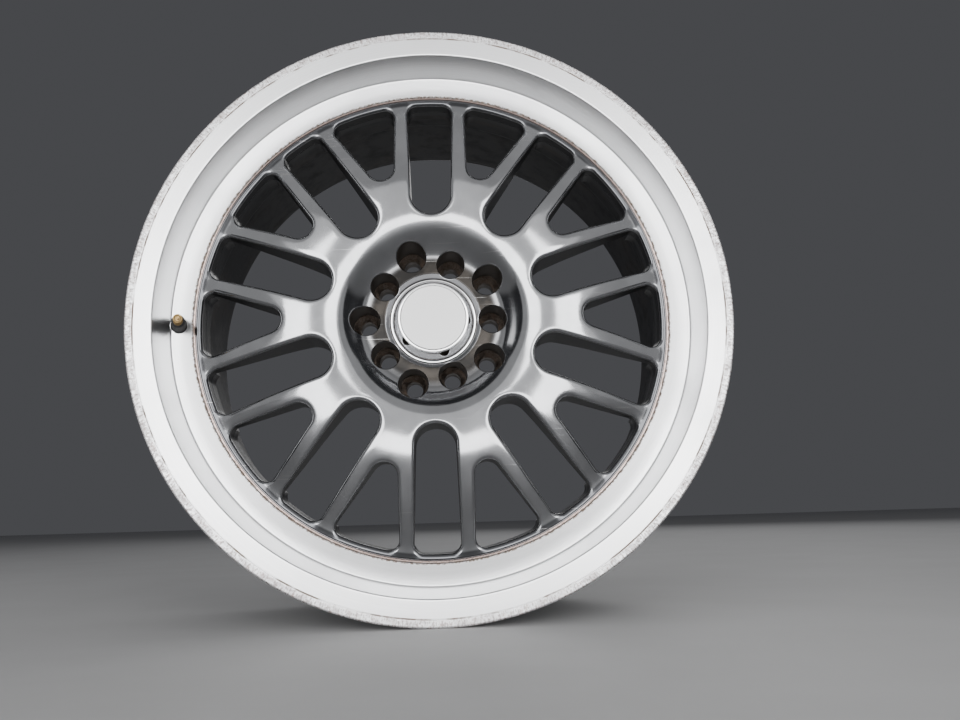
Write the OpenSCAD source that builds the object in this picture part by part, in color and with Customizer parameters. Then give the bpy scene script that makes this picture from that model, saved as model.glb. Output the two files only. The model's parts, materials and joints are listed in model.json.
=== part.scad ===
// Modular forged racing wheel: a spoked centre bolted between an outer and an inner rim half,
// with a snap-in tyre valve and a pull-off centre cap. The wheel's axis lies along Y, and its
// street side faces -Y. Sizes are in millimetres.
// Profiles are drawn as [radius, depth], where depth is measured from the outer lip's edge inwards.

/* [Rim] */
// Diameter of the bead seats
bead_seat_d = 462.0; // [461.5:0.1:462.5]
// Distance between the two bead faces
rim_width = 222.25; // [215:0.25:230]
// Height of a rim flange above its bead seat
flange_height = 17.3; // [16.8:0.1:17.8]
// Thickness of a rim flange along the axis
flange_thickness = 12.5; // [12:0.1:13]
// Radius of the drop centre, on the tyre side
well_r = 207.5; // [206.5:0.5:208]
// Wall thickness of the inner barrel
barrel_wall = 5.2; // [4.6:0.1:5.6]

/* [Lip] */
// Radius where the lip face turns into the step wall
lip_inner_r = 226.3; // [225.5:0.1:227]
// Radius at the foot of the step wall
step_foot_r = 219.6; // [219.2:0.1:220]
// Depth of the step, from the lip face to the flat ring
step_depth = 28.7; // [27.5:0.1:29.5]

/* [Centre] */
// Outer radius of the spoked centre, which the outer half locates
centre_r = 200.6; // [200.2:0.1:200.8]
// Radius of the outer edge of the windows
window_outer_r = 193.3; // [192.8:0.1:193.6]
// Number of Y spokes
spoke_count = 10; // [10:10:10]
// Depth of the flat pad around the lug holes
pad_depth = 26.5; // [25.5:0.1:27.5]
// Wheel offset: how far the hub face lies on the street side of the rim's middle
wheel_offset = 42; // [38:1:45]
// Radius of the hub face
hub_face_r = 75; // [73:0.5:76]

/* [Hub fit] */
// Radius of the centre bore that fits over the hub's spigot
centre_bore_r = 36.55; // [36.4:0.05:36.7]
// Pitch circle diameter of the wide lug pattern
wide_pcd = 114.3; // [114.3:0.1:114.3]
// Pitch circle diameter of the narrow lug pattern
narrow_pcd = 100; // [100:1:100]
// Radius of the stud holes
stud_hole_r = 7.25; // [7:0.05:7.5]
// Radius of the pockets of the wide pattern
wide_pocket_r = 12.5; // [12.3:0.1:12.6]
// Radius of the pockets of the narrow pattern
narrow_pocket_r = 11.8; // [11.6:0.1:12]

/* [Fasteners] */
// Radius of the assembly bolts' pitch circle
bolt_circle_r = 195; // [194.8:0.1:195.2]
// Diameter of the assembly bolts
bolt_d = 7; // [7:0.5:7]

/* [Valve] */
// Radius at which the valve stands on the flat ring
valve_r = 212.5; // [212.3:0.1:212.6]
// Angle at which the valve leans towards the wheel's axis
valve_lean = 14; // [12:0.5:15]
// Length of the valve outside the flat ring
valve_length = 27.8; // [27:0.1:28.4]

/* [Hidden] */
$fn = 120;

// Rim
bead_r = bead_seat_d / 2;
flange_r = bead_r + flange_height;
overall_width = rim_width + 2 * flange_thickness;
flange_tip_arc = 9.5;
bead_fillet = 6.5;
bead_seat_drop = 1.5;
bead_seat_end = 32;
hump_r = bead_r;

// Stack of the three bolted flanges
centre_back = 40;
rim_joint = 47;
inner_flange_back = 54;
locating_gap = 0.25;
flange_bore_r = bolt_circle_r - 6.8;
bolt_angle = 7.9;

// Hub
hub_face_depth = overall_width / 2 - wheel_offset;
cap_seat_depth = 33;
cap_bore_r = 33.5;
cap_bore_end = 48;
cap_recess_r = 36.6;
seat_depth = 56.5;
seat_end = 72;

// Windows: a round-ended slot on each gap's middle, a triangle inside each Y spoke
spoke_step = 360 / spoke_count;
corner_r = 8;
slot_end_r = 17;
slot_end_at = 105.5;
slot_half_w = 19.2;
nose_r = 11.25;
nose_at = 136.8;
nose_taper = 18;

// Fasteners
bolt_r = bolt_d / 2;
washer_r = 6;
washer_t = 1.5;
insert_r = 4.4;
insert_depth = 31;

// Valve
valve_hole_r = 5.75;
rubber_base_r = 6.8;
spot_face_r = 7.1;
wall_front = -1.6;
wall_back = -7.2;
stem_r = 3.85;
core_bore_r = 2.65;

// Points of an arc about c, from angle a0 to angle a1
function arc(c, r, a0, a1, n = 8) =
    [for (i = [0 : n]) let (a = a0 + (a1 - a0) * i / n) [c[0] + r * cos(a), c[1] + r * sin(a)]];

// Points of a smooth curve through p, n to each stretch
function smooth(p, n = 4) = [
    for (i = [0 : len(p) - 2], j = [0 : n - 1])
        let (t = j / n, a = p[max(i - 1, 0)], b = p[i], c = p[i + 1], d = p[min(i + 2, len(p) - 1)])
            (2 * b + (c - a) * t + (2 * a - 5 * b + 4 * c - d) * t * t
                + (3 * b - a - 3 * c + d) * t * t * t) / 2,
    p[len(p) - 1]
];

// The wheel's own frame: depth 0 is the outer lip's edge, and depth runs along +Y
module wheel_frame() {
    rotate([-90, 0, 0]) translate([0, 0, -overall_width / 2]) children();
}

module lathe(profile) {
    rotate_extrude() polygon(profile);
}

// A tube from depth d0 to depth d1
module tube(r_out, r_in, d0, d1) {
    translate([0, 0, d0]) difference() {
        cylinder(r = r_out, h = d1 - d0);
        translate([0, 0, -1]) cylinder(r = r_in, h = d1 - d0 + 2);
    }
}

module at_bolts() {
    for (k = [0 : spoke_count - 1], side = [-1, 1])
        rotate(90 + k * spoke_step + side * bolt_angle) translate([bolt_circle_r, 0, 0]) children();
}

module at_lugs(pcd, first_angle) {
    for (k = [0 : 4]) rotate(first_angle + 72 * k) translate([pcd / 2, 0, 0]) children();
}

// Valve frame: z = 0 on the flat ring, z positive towards the valve's tip
module at_valve() {
    translate([-valve_r, 0, step_depth - 0.6]) rotate([0, 180 - valve_lean, 0]) children();
}

// ---- Spoked centre ----

slot_corner = [slot_half_w - corner_r, sqrt(pow(window_outer_r - corner_r, 2)
    - pow(slot_half_w - corner_r, 2))];
slot_corner_a = atan2(slot_corner[1], slot_corner[0]);
slot_outline = concat(
    arc([0, slot_end_at], slot_end_r, 180, 360, 16),
    arc(slot_corner, corner_r, 0, slot_corner_a, 6),
    arc([0, 0], window_outer_r, slot_corner_a, 180 - slot_corner_a, 4),
    arc([-slot_corner[0], slot_corner[1]], corner_r, 180 - slot_corner_a, 180, 6));

nose_dir = [sin(nose_taper), cos(nose_taper)];
nose_start = [0, nose_at] + (nose_r - corner_r) * [cos(nose_taper), -sin(nose_taper)];
nose_run = -nose_start * nose_dir + sqrt(pow(nose_start * nose_dir, 2) - nose_start * nose_start
    + pow(window_outer_r - corner_r, 2));
nose_corner = nose_start + nose_run * nose_dir;
nose_corner_a = atan2(nose_corner[1], nose_corner[0]);
triangle_outline = concat(
    arc([0, nose_at], nose_r, 180 + nose_taper, 360 - nose_taper, 12),
    arc(nose_corner, corner_r, -nose_taper, nose_corner_a, 6),
    arc([0, 0], window_outer_r, nose_corner_a, 180 - nose_corner_a, 6),
    arc([-nose_corner[0], nose_corner[1]], corner_r, 180 - nose_corner_a, 180 + nose_taper, 6));

centre_face = smooth([[50, pad_depth], [57, pad_depth - 0.8], [64, 22], [70, 16.5], [77, 12.3],
    [88, 9.8], [102, 8.3], [118, 8.6], [134, 10.8], [150, 14], [166, 18.3], [180, 23.2],
    [190, 26.3], [centre_r, 26.9]], 3);
centre_rear = smooth([[centre_r, centre_back], [191, centre_back], [165, 43.5], [134, 47.5],
    [108, 55], [90, 67], [80, 77], [hub_face_r, hub_face_depth - 0.6]], 3);

module centre_blank() {
    lathe(concat(
        [[cap_recess_r, cap_seat_depth], [cap_recess_r, pad_depth + 3.6], [40.6, pad_depth]],
        centre_face,
        centre_rear,
        [[hub_face_r - 0.8, hub_face_depth], [centre_bore_r + 1.5, hub_face_depth],
            [centre_bore_r, hub_face_depth - 1.5], [centre_bore_r, cap_bore_end],
            [cap_bore_r, cap_bore_end], [cap_bore_r, cap_seat_depth]]));
}

module windows() {
    for (k = [0 : spoke_count - 1]) {
        rotate(k * spoke_step) translate([0, 0, -5]) linear_extrude(100) polygon(slot_outline);
        rotate((k + 0.5) * spoke_step) translate([0, 0, -5]) linear_extrude(100)
            polygon(triangle_outline);
    }
}

module lug_hole(pocket_r) {
    cylinder(r = pocket_r, h = seat_end);
    cylinder(r = stud_hole_r, h = 120);
}

module wheel_centre() {
    color([0.36, 0.37, 0.39]) wheel_frame() difference() {
        centre_blank();
        windows();
        at_lugs(wide_pcd, 180) lug_hole(wide_pocket_r);
        at_lugs(narrow_pcd, 0) lug_hole(narrow_pocket_r);
        at_bolts() translate([0, 0, insert_depth - 0.8])
            cylinder(r = insert_r, h = centre_back - insert_depth + 2);
    }
}

// ---- Rim halves ----

module bolt_holes() {
    at_bolts() translate([0, 0, centre_back - 1]) cylinder(r = bolt_r + 0.15, h = 30);
}

outer_locating_r = centre_r + locating_gap;
outer_tyre_side = concat(
    arc([flange_r - flange_tip_arc, 3], flange_tip_arc, 0, 90, 8),
    arc([bead_r + bead_fillet, flange_thickness + bead_fillet], bead_fillet, -90, -180, 6),
    [[bead_r - bead_seat_drop, bead_seat_end], [hump_r - 0.4, 33], [hump_r - 0.4, 34.4],
        [bead_r - 2.6, 36.5]],
    arc([well_r + 3, 39.5], 3, -90, -180, 5));
outer_street_side = concat(
    [[outer_locating_r, 27.2], [outer_locating_r + 0.5, 26.8]],
    arc([step_foot_r - 1.6, step_depth - 1.6], 1.6, 90, 14, 4),
    arc([lip_inner_r + 1.2, 1.5], 1.5, 194, 270, 5),
    [[flange_r - 7.4, 0], [flange_r - 7.0, 0.5], [flange_r - 6.6, 0], [flange_r - 1.6, 0],
        [flange_r - 0.4, 0.8]]);

module outer_rim_half() {
    color([0.86, 0.87, 0.88]) wheel_frame() difference() {
        lathe(concat(
            outer_street_side,
            outer_tyre_side,
            [[well_r, rim_joint], [flange_bore_r, rim_joint], [flange_bore_r, centre_back + 0.8],
                [flange_bore_r + 3, centre_back], [outer_locating_r, centre_back]]));
        // Relieved to the windows' outline, which leaves an ear behind each spoke's end
        windows();
        bolt_holes();
        at_valve() {
            translate([0, 0, -40]) cylinder(r = valve_hole_r, h = 60);
            translate([0, 0, wall_front]) cylinder(r = spot_face_r, h = 12);
            translate([0, 0, wall_back - 12]) cylinder(r = spot_face_r + 0.8, h = 12);
        }
    }
}

rear_bead = overall_width - flange_thickness;
barrel_r = 219;
inner_tyre_side = concat(
    [[well_r, rim_joint], [well_r, 88], [barrel_r, 103], [barrel_r, overall_width - 53],
        [hump_r - 0.4, overall_width - 34.8], [hump_r - 0.4, overall_width - 33],
        [bead_r - bead_seat_drop, overall_width - bead_seat_end]],
    arc([bead_r + bead_fillet, rear_bead - bead_fillet], bead_fillet, 180, 90, 6),
    arc([flange_r - flange_tip_arc, rear_bead + flange_tip_arc], flange_tip_arc, -90, 0, 8));
inner_brake_side = concat(
    [[flange_r, overall_width - 1], [flange_r - 1, overall_width], [flange_r - 3.8, overall_width],
        [flange_r - 5, overall_width - 1]],
    arc([flange_r - flange_tip_arc, rear_bead + flange_tip_arc], flange_tip_arc - 5, 0, -90, 6),
    arc([bead_r + bead_fillet, rear_bead - bead_fillet], bead_fillet + 5, 90, 180, 8),
    [[bead_r - 5, overall_width - 34], [barrel_r - barrel_wall, overall_width - 50],
        [barrel_r - barrel_wall - 0.6, 104], [well_r - barrel_wall + 0.2, 89],
        [well_r - barrel_wall + 0.2, inner_flange_back]]);

module inner_rim_half() {
    color([0.09, 0.09, 0.1]) wheel_frame() difference() {
        lathe(concat(inner_tyre_side, inner_brake_side,
            [[flange_bore_r, inner_flange_back], [flange_bore_r, rim_joint]]));
        windows();
        bolt_holes();
    }
}

module joint_sealant() {
    color([0.16, 0.16, 0.17]) wheel_frame()
        lathe(arc([well_r, rim_joint], 3.6, -90, 90, 12));
}

// ---- Fasteners of the rim halves ----

module assembly_bolts() {
    under_head = inner_flange_back + washer_t;
    color([0.62, 0.62, 0.63]) wheel_frame() at_bolts() {
        translate([0, 0, insert_depth + 0.6])
            cylinder(r = bolt_r - 0.05, h = under_head - insert_depth - 0.5);
        translate([0, 0, under_head]) cylinder(r = 5.6, h = 1.6);
        translate([0, 0, under_head + 1.6]) {
            cylinder(r = 4.6, h = 5.4, $fn = 6);
            rotate(30) cylinder(r = 4.6, h = 5.4, $fn = 6);
        }
    }
}

module assembly_washers() {
    color([0.7, 0.7, 0.7]) wheel_frame() at_bolts()
        tube(washer_r, bolt_r + 0.15, inner_flange_back, inner_flange_back + washer_t);
}

module thread_inserts() {
    color([0.6, 0.58, 0.52]) wheel_frame() at_bolts()
        tube(insert_r, bolt_r, insert_depth, centre_back);
}

// ---- Steel lug seats ----

module lug_seat(pocket_r) {
    translate([0, 0, seat_depth]) rotate_extrude($fn = 60) polygon([
        [pocket_r, 0.5], [pocket_r, seat_end - seat_depth], [stud_hole_r, seat_end - seat_depth],
        [stud_hole_r, 0.3 + (pocket_r - 0.6 - stud_hole_r) / tan(30)], [pocket_r - 0.6, 0.3],
        [pocket_r - 0.5, 0]]);
}

module wide_lug_seats() {
    color([0.35, 0.3, 0.27]) wheel_frame() at_lugs(wide_pcd, 180) lug_seat(wide_pocket_r);
}

module narrow_lug_seats() {
    color([0.35, 0.3, 0.27]) wheel_frame() at_lugs(narrow_pcd, 0) lug_seat(narrow_pocket_r);
}

// ---- Centre cap ----

cap_base_r = 36.2;
cap_front = 16;
cap_disc_r = 27;
cap_disc_t = 1;
cap_pad_t = 0.6;
cap_leg_r = cap_bore_r - 0.06;
cap_leg_end = 46.5;

module cap_shell() {
    color([0.8, 0.81, 0.83]) wheel_frame() {
        lathe([[cap_base_r, cap_seat_depth], [cap_base_r, 30.4], [cap_base_r - 0.6, 29.8],
            [cap_base_r - 1.3, 29.8], [cap_base_r - 1.9, 28.9], [29.6, 17.2], [29, 16.4],
            [28.3, cap_front], [27.6, cap_front],
            [cap_disc_r + 0.1, cap_front + 0.6], [cap_disc_r + 0.1, cap_front + cap_disc_t + cap_pad_t],
            [0, cap_front + cap_disc_t + cap_pad_t], [0, 20], [27.2, 20], [30.6, 28.5],
            [30.8, cap_seat_depth]]);
        for (k = [0 : 5]) rotate(60 * k + 18) intersection() {
            lathe([[cap_leg_r, cap_seat_depth - 1], [cap_leg_r, cap_leg_end - 1],
                [cap_leg_r - 0.8, cap_leg_end], [30.6, cap_leg_end], [30.6, cap_leg_end - 1.2],
                [31.6, cap_leg_end - 1.8], [31.6, cap_seat_depth - 1]]);
            translate([0, -8, 0]) cube([50, 16, 60]);
        }
    }
}

module cap_disc() {
    color([0.95, 0.95, 0.95]) wheel_frame() translate([0, 0, cap_front])
        cylinder(r = cap_disc_r, h = cap_disc_t);
}

module cap_adhesive_pad() {
    color([0.85, 0.82, 0.7]) wheel_frame() translate([0, 0, cap_front + cap_disc_t])
        cylinder(r = cap_disc_r - 0.8, h = cap_pad_t);
}

module cap_spring_ring() {
    color([0.55, 0.56, 0.58]) wheel_frame() rotate(30)
        rotate_extrude(angle = 348) translate([30.55, cap_leg_end - 2.9]) circle(r = 1, $fn = 24);
}

// ---- Tyre valve ----

module valve_lathe(profile) {
    wheel_frame() at_valve() rotate_extrude($fn = 60) polygon(profile);
}

rubber_top = 18.2;
module valve_rubber() {
    color([0.07, 0.07, 0.07]) valve_lathe([[3.1, -13.5], [5.2, -13.5], [7, -12], [7.2, wall_back],
        [valve_hole_r, wall_back], [valve_hole_r, wall_front], [rubber_base_r, wall_front],
        [rubber_base_r, 1.8], [6.4, 3], [5.2, rubber_top - 1.2], [4.7, rubber_top],
        [3.1, rubber_top]]);
}

module valve_stem() {
    color([0.75, 0.6, 0.32]) valve_lathe([[1.5, -13.5], [3.1, -13.5], [3.1, rubber_top],
        [stem_r, rubber_top], [stem_r, valve_length - 0.5], [stem_r - 0.5, valve_length],
        [core_bore_r, valve_length], [core_bore_r, 12], [2.2, 11.4], [2.2, 2], [1.5, 1]]);
}

module valve_core_body() {
    color([0.7, 0.55, 0.28]) valve_lathe([[0.8, 7.8], [1.6, 7.8], [1.6, 12.4], [1.9, 12.4],
        [1.9, 15.2], [2.6, 15.8], [2.6, 26.6], [2.2, 27], [1.7, 27], [1.7, 17.6], [0.8, 17.6]]);
}

module valve_core_gasket() {
    color([0.5, 0.12, 0.1]) valve_lathe([[1.9, 12.4], [2.45, 12.4], [2.6, 13], [2.6, 14.6],
        [1.9, 15]]);
}

spring_low = 17.9;
spring_high = 25.1;
spring_turns = 5;
spring_wire = 0.2;
spring_r = 1.3;
spring_rings = 60;
module valve_core_spring() {
    sides = 6;
    points = [for (i = [0 : spring_rings], j = [0 : sides - 1])
        let (a = 360 * spring_turns * i / spring_rings, b = 360 * j / sides,
            r = spring_r + spring_wire * cos(b))
        [r * cos(a), r * sin(a), spring_low + (spring_high - spring_low) * i / spring_rings
            + spring_wire * sin(b)]];
    walls = [for (i = [0 : spring_rings - 1], j = [0 : sides - 1])
        let (k = (j + 1) % sides)
        [i * sides + j, (i + 1) * sides + j, (i + 1) * sides + k, i * sides + k]];
    ends = [[for (j = [0 : sides - 1]) j],
        [for (j = [sides - 1 : -1 : 0]) spring_rings * sides + j]];
    color([0.6, 0.6, 0.62]) wheel_frame() at_valve() polyhedron(points, concat(walls, ends));
}

module valve_core_pin() {
    color([0.75, 0.75, 0.72]) valve_lathe([[0, 4.6], [1.2, 4.6], [1.2, 5.4], [0.7, 5.4],
        [0.7, 25.4], [1.5, 25.4], [1.5, 26.1], [0.7, 26.1], [0.7, 27.3], [0.5, 27.6], [0, 27.6]]);
}

module valve_core_seal() {
    color([0.12, 0.12, 0.12]) valve_lathe([[0.7, 5.4], [1.6, 5.4], [1.8, 6], [1.8, 7.3],
        [1.4, 7.7], [0.7, 7.7]]);
}

wheel_centre();
outer_rim_half();
inner_rim_half();
assembly_bolts();
assembly_washers();
thread_inserts();
joint_sealant();
wide_lug_seats();
narrow_lug_seats();
cap_shell();
cap_disc();
cap_adhesive_pad();
cap_spring_ring();
valve_rubber();
valve_stem();
valve_core_body();
valve_core_gasket();
valve_core_spring();
valve_core_pin();
valve_core_seal();
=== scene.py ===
"""Forged modular racing wheel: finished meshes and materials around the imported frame."""

import json
import logging
import math
from dataclasses import dataclass, field
from enum import Enum
from typing import Callable, Sequence

import bmesh
import bpy
import numpy as np
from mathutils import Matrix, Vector
from mathutils.geometry import delaunay_2d_cdt


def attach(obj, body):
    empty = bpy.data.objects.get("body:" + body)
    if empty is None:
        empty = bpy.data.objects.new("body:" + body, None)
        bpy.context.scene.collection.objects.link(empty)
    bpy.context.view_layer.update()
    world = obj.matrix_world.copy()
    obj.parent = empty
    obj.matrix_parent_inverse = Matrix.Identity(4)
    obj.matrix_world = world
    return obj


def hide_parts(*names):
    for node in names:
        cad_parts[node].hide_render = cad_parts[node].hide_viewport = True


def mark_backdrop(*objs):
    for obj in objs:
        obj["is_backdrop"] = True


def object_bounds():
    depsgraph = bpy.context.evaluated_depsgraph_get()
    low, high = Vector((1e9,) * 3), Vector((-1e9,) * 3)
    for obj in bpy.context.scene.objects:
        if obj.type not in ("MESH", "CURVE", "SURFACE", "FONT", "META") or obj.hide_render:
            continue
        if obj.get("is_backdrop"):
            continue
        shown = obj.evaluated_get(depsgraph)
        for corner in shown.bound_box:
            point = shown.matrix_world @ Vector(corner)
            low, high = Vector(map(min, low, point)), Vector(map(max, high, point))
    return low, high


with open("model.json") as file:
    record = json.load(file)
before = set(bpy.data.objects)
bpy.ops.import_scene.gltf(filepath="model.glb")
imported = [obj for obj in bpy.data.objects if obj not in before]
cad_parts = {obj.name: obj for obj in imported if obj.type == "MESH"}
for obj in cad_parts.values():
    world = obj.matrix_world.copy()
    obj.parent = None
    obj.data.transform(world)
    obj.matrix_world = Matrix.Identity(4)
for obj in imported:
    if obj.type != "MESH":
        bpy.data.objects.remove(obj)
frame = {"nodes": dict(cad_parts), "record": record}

log = logging.getLogger("wheel")

MM = 0.001
HALF_WIDTH = 123.625
Point = tuple[float, float]
Array = np.ndarray


# ---------------------------------------------------------------- shape helpers


def arc(centre: Point, radius: float, start: float, end: float, steps: int = 10) -> list[Point]:
    """Points along a round stretch of an outline.

    Args:
        centre: Centre of the arc, in millimetres.
        radius: Radius of the arc.
        start: First angle, in degrees.
        end: Last angle, in degrees.
        steps: Number of chords.

    Returns:
        The points, from start to end.
    """
    angles = [math.radians(start + (end - start) * i / steps) for i in range(steps + 1)]
    return [(centre[0] + radius * math.cos(a), centre[1] + radius * math.sin(a)) for a in angles]


def line(a: Point, b: Point, pitch: float) -> list[Point]:
    """Points along a straight stretch, without its last end.

    Args:
        a: First end, in millimetres.
        b: Last end, in millimetres.
        pitch: Longest spacing allowed between points.

    Returns:
        The points, from a up to the one before b.
    """
    count = max(1, math.ceil(math.dist(a, b) / pitch))
    return [(a[0] + (b[0] - a[0]) * i / count, a[1] + (b[1] - a[1]) * i / count) for i in range(count)]


class Curve:
    """A smooth depth profile through a few points: a natural cubic spline over the radius."""

    def __init__(self, points: Sequence[Point]) -> None:
        """Fits the spline.

        Args:
            points: (radius, depth) pairs in millimetres, with the radius rising.
        """
        self.r = np.array([p[0] for p in points], float)
        self.d = np.array([p[1] for p in points], float)
        n = len(points)
        gap = np.diff(self.r)
        system = np.eye(n)
        right = np.zeros(n)
        for i in range(1, n - 1):
            system[i, i - 1 : i + 2] = gap[i - 1], 2 * (gap[i - 1] + gap[i]), gap[i]
            rise = (self.d[i + 1] - self.d[i]) / gap[i] - (self.d[i] - self.d[i - 1]) / gap[i - 1]
            right[i] = 6 * rise
        self.bend = np.linalg.solve(system, right)

    def __call__(self, r: Array) -> tuple[Array, Array]:
        """Depth and slope at each radius.

        Args:
            r: Radii in millimetres.

        Returns:
            The depths, and their rate of change with the radius.
        """
        r = np.clip(np.asarray(r, float), self.r[0], self.r[-1])
        i = np.clip(np.searchsorted(self.r, r) - 1, 0, len(self.r) - 2)
        gap = self.r[i + 1] - self.r[i]
        a, b = (self.r[i + 1] - r) / gap, (r - self.r[i]) / gap
        depth = a * self.d[i] + b * self.d[i + 1] + (
            (a**3 - a) * self.bend[i] + (b**3 - b) * self.bend[i + 1]
        ) * gap**2 / 6
        slope = (self.d[i + 1] - self.d[i]) / gap + (
            (1 - 3 * a**2) * self.bend[i] + (3 * b**2 - 1) * self.bend[i + 1]
        ) * gap / 6
        return depth, slope


def with_support(profile: Sequence[Point], closed: bool = True, inset: float = 0.2) -> list[Point]:
    """Adds a point just inside each end of long stretches, so that their shading stays flat.

    Args:
        profile: (radius, depth) points in millimetres.
        closed: Whether the last point joins the first.
        inset: Distance of the added points from the ends.

    Returns:
        The profile with the added points.
    """
    out: list[Point] = []
    last = len(profile) if closed else len(profile) - 1
    for i in range(last):
        a, b = profile[i], profile[(i + 1) % len(profile)]
        out.append(a)
        length = math.dist(a, b)
        if length > 6 * inset:
            for t in (inset / length, 1 - inset / length):
                out.append((a[0] + (b[0] - a[0]) * t, a[1] + (b[1] - a[1]) * t))
    if not closed:
        out.append(profile[-1])
    return out


class Solid:
    """A mesh under construction in the wheel's own frame: X, Z and depth, in millimetres."""

    def __init__(self) -> None:
        """Starts an empty mesh."""
        self.points: list[Array] = []
        self.normals: list[Array] = []
        self.tints: list[Array] = []
        self.faces: list[tuple[int, ...]] = []
        self.count = 0

    def add(self, points: Array, normals: Array, faces: Sequence[Sequence[int]], tint: Array | float = 0.0) -> None:
        """Adds a patch of surface.

        Args:
            points: Rows of x, z and depth.
            normals: One outward normal for each point.
            faces: Indices into points.
            tint: Finish number of each point: 0 face, 1 bright edge that carries a painted highlight, 2 painted wall.
        """
        points = np.asarray(points, float)
        self.points.append(points)
        self.normals.append(np.asarray(normals, float))
        self.tints.append(np.broadcast_to(np.asarray(tint, float), (len(points),)).copy())
        self.faces += [tuple(int(i) + self.count for i in f) for f in faces]
        self.count += len(points)

    def strip(self, rows: Sequence[Array], row_normals: Sequence[Array], tints: Sequence[float]) -> None:
        """Adds a surface between rows of matching points.

        Args:
            rows: Arrays of points, all the same length.
            row_normals: The normals that go with each row.
            tints: Finish number of each row.
        """
        n = len(rows[0])
        faces = [
            (k * n + i, k * n + i + 1, (k + 1) * n + i + 1, (k + 1) * n + i)
            for k in range(len(rows) - 1)
            for i in range(n - 1)
        ]
        tint = np.concatenate([np.full(n, t) for t in tints])
        self.add(np.concatenate(rows), np.concatenate(row_normals), faces, tint)

    def copies(self, angles: Sequence[float]) -> "Solid":
        """A mesh of this half sector, mirrored and turned to each angle.

        Args:
            angles: Angles of the sectors' middle lines, in degrees from +X towards +Z.

        Returns:
            The joined mesh, still unwelded.
        """
        points, normals = np.concatenate(self.points), np.concatenate(self.normals)
        tint = np.concatenate(self.tints)
        whole = Solid()
        for angle in angles:
            c, s = math.cos(math.radians(angle)), math.sin(math.radians(angle))
            for side in (1.0, -1.0):
                turn = np.array([[-side * s, side * c, 0], [c, s, 0], [0, 0, 1]])
                whole.add(points @ turn, normals @ turn, self.faces, tint)
        return whole

    def extend(self, other: "Solid") -> None:
        """Adds all of another mesh's surface to this one."""
        self.faces += [tuple(i + self.count for i in f) for f in other.faces]
        self.points += other.points
        self.normals += other.normals
        self.tints += other.tints
        self.count += other.count

    def finish(self, name: str) -> bpy.types.Object:
        """Welds the patches into one closed object, with the stated normals on its corners.

        Args:
            name: Name of the new object.

        Returns:
            The object, in metres in the row's frame.
        """
        raw = np.concatenate(self.points)
        normals = np.concatenate(self.normals)
        normals /= np.linalg.norm(normals, axis=1)[:, None]
        _, first, where = np.unique(np.round(raw, 3), axis=0, return_index=True, return_inverse=True)
        where = where.reshape(-1)
        points = raw[first]
        faces, corners = [], []
        for f in self.faces:
            kept = [i for k, i in enumerate(f) if where[i] != where[f[k - 1]]]
            ids = [int(where[i]) for i in kept]
            if len(set(ids)) < 3 or len(set(ids)) != len(ids):
                continue
            a, b, c = points[ids[0]], points[ids[1]], points[ids[2]]
            if np.dot(np.cross(b - a, c - a), normals[kept].sum(axis=0)) > 0:
                ids.reverse()
                kept.reverse()
            faces.append(ids)
            corners += kept
        mesh = bpy.data.meshes.new(name)
        place = np.stack([points[:, 0], points[:, 2] - HALF_WIDTH, points[:, 1]], axis=1) * MM
        mesh.from_pydata(place.tolist(), [], faces)
        mesh.polygons.foreach_set("use_smooth", [True] * len(mesh.polygons))
        out = np.stack([normals[:, 0], normals[:, 2], normals[:, 1]], axis=1)
        mesh.normals_split_custom_set(out[corners].tolist())
        tint = mesh.attributes.new("finish", "FLOAT", "CORNER")
        tint.data.foreach_set("value", np.concatenate(self.tints)[corners])
        return put(name, mesh)


def put(name: str, mesh: bpy.types.Mesh) -> bpy.types.Object:
    """Puts a mesh into the scene as a new object of that name."""
    obj = bpy.data.objects.new(name, mesh)
    bpy.context.scene.collection.objects.link(obj)
    return obj


def ring_angles(count: int) -> Array:
    """Evenly spaced angles right round the wheel, in radians, without the closing one."""
    return np.arange(count) * 2 * math.pi / count


def lathe(name: str, profile: Sequence[Point], count: int = 360, crease: float = 32.0) -> bpy.types.Object:
    """Turns a closed profile into a solid of revolution about the wheel's axis.

    Args:
        name: Name of the new object.
        profile: Closed outline of (radius, depth) points in millimetres.
        count: Number of steps round the axis.
        crease: Edges sharper than this, in degrees, stay crisp.

    Returns:
        The object.
    """
    ring = with_support(profile)
    mesh = bpy.data.meshes.new(name)
    bm = bmesh.new()
    rows = []
    for a in ring_angles(count):
        c, s = math.cos(a), math.sin(a)
        rows.append([bm.verts.new((r * c * MM, (d - HALF_WIDTH) * MM, r * s * MM)) for r, d in ring])
    for i in range(count):
        here, there = rows[i], rows[(i + 1) % count]
        for k in range(len(ring)):
            m = (k + 1) % len(ring)
            if ring[k][0] > 0 or ring[m][0] > 0:
                bm.faces.new((here[k], here[m], there[m], there[k]))
    bmesh.ops.remove_doubles(bm, verts=bm.verts, dist=1e-6)
    bmesh.ops.recalc_face_normals(bm, faces=bm.faces)
    bm.to_mesh(mesh)
    bm.free()
    smooth(mesh, crease)
    return put(name, mesh)


def smooth(mesh: bpy.types.Mesh, crease: float) -> None:
    """Shades a mesh smooth, apart from edges sharper than crease degrees."""
    mesh.polygons.foreach_set("use_smooth", [True] * len(mesh.polygons))
    mesh.set_sharp_from_angle(angle=math.radians(crease))


def prism(bm: bmesh.types.BMesh, outline: Sequence[Point], low: float, high: float) -> None:
    """Adds a closed prism over an outline of the wheel's face.

    Args:
        bm: Mesh to add to.
        outline: Closed outline of (x, z) points in millimetres.
        low: Depth of one end.
        high: Depth of the other end.
    """
    ends = [
        [bm.verts.new((x * MM, (d - HALF_WIDTH) * MM, z * MM)) for x, z in outline] for d in (low, high)
    ]
    n = len(outline)
    for i in range(n):
        j = (i + 1) % n
        bm.faces.new((ends[0][i], ends[0][j], ends[1][j], ends[1][i]))
    bm.faces.new(ends[0][::-1])
    bm.faces.new(ends[1])


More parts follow.
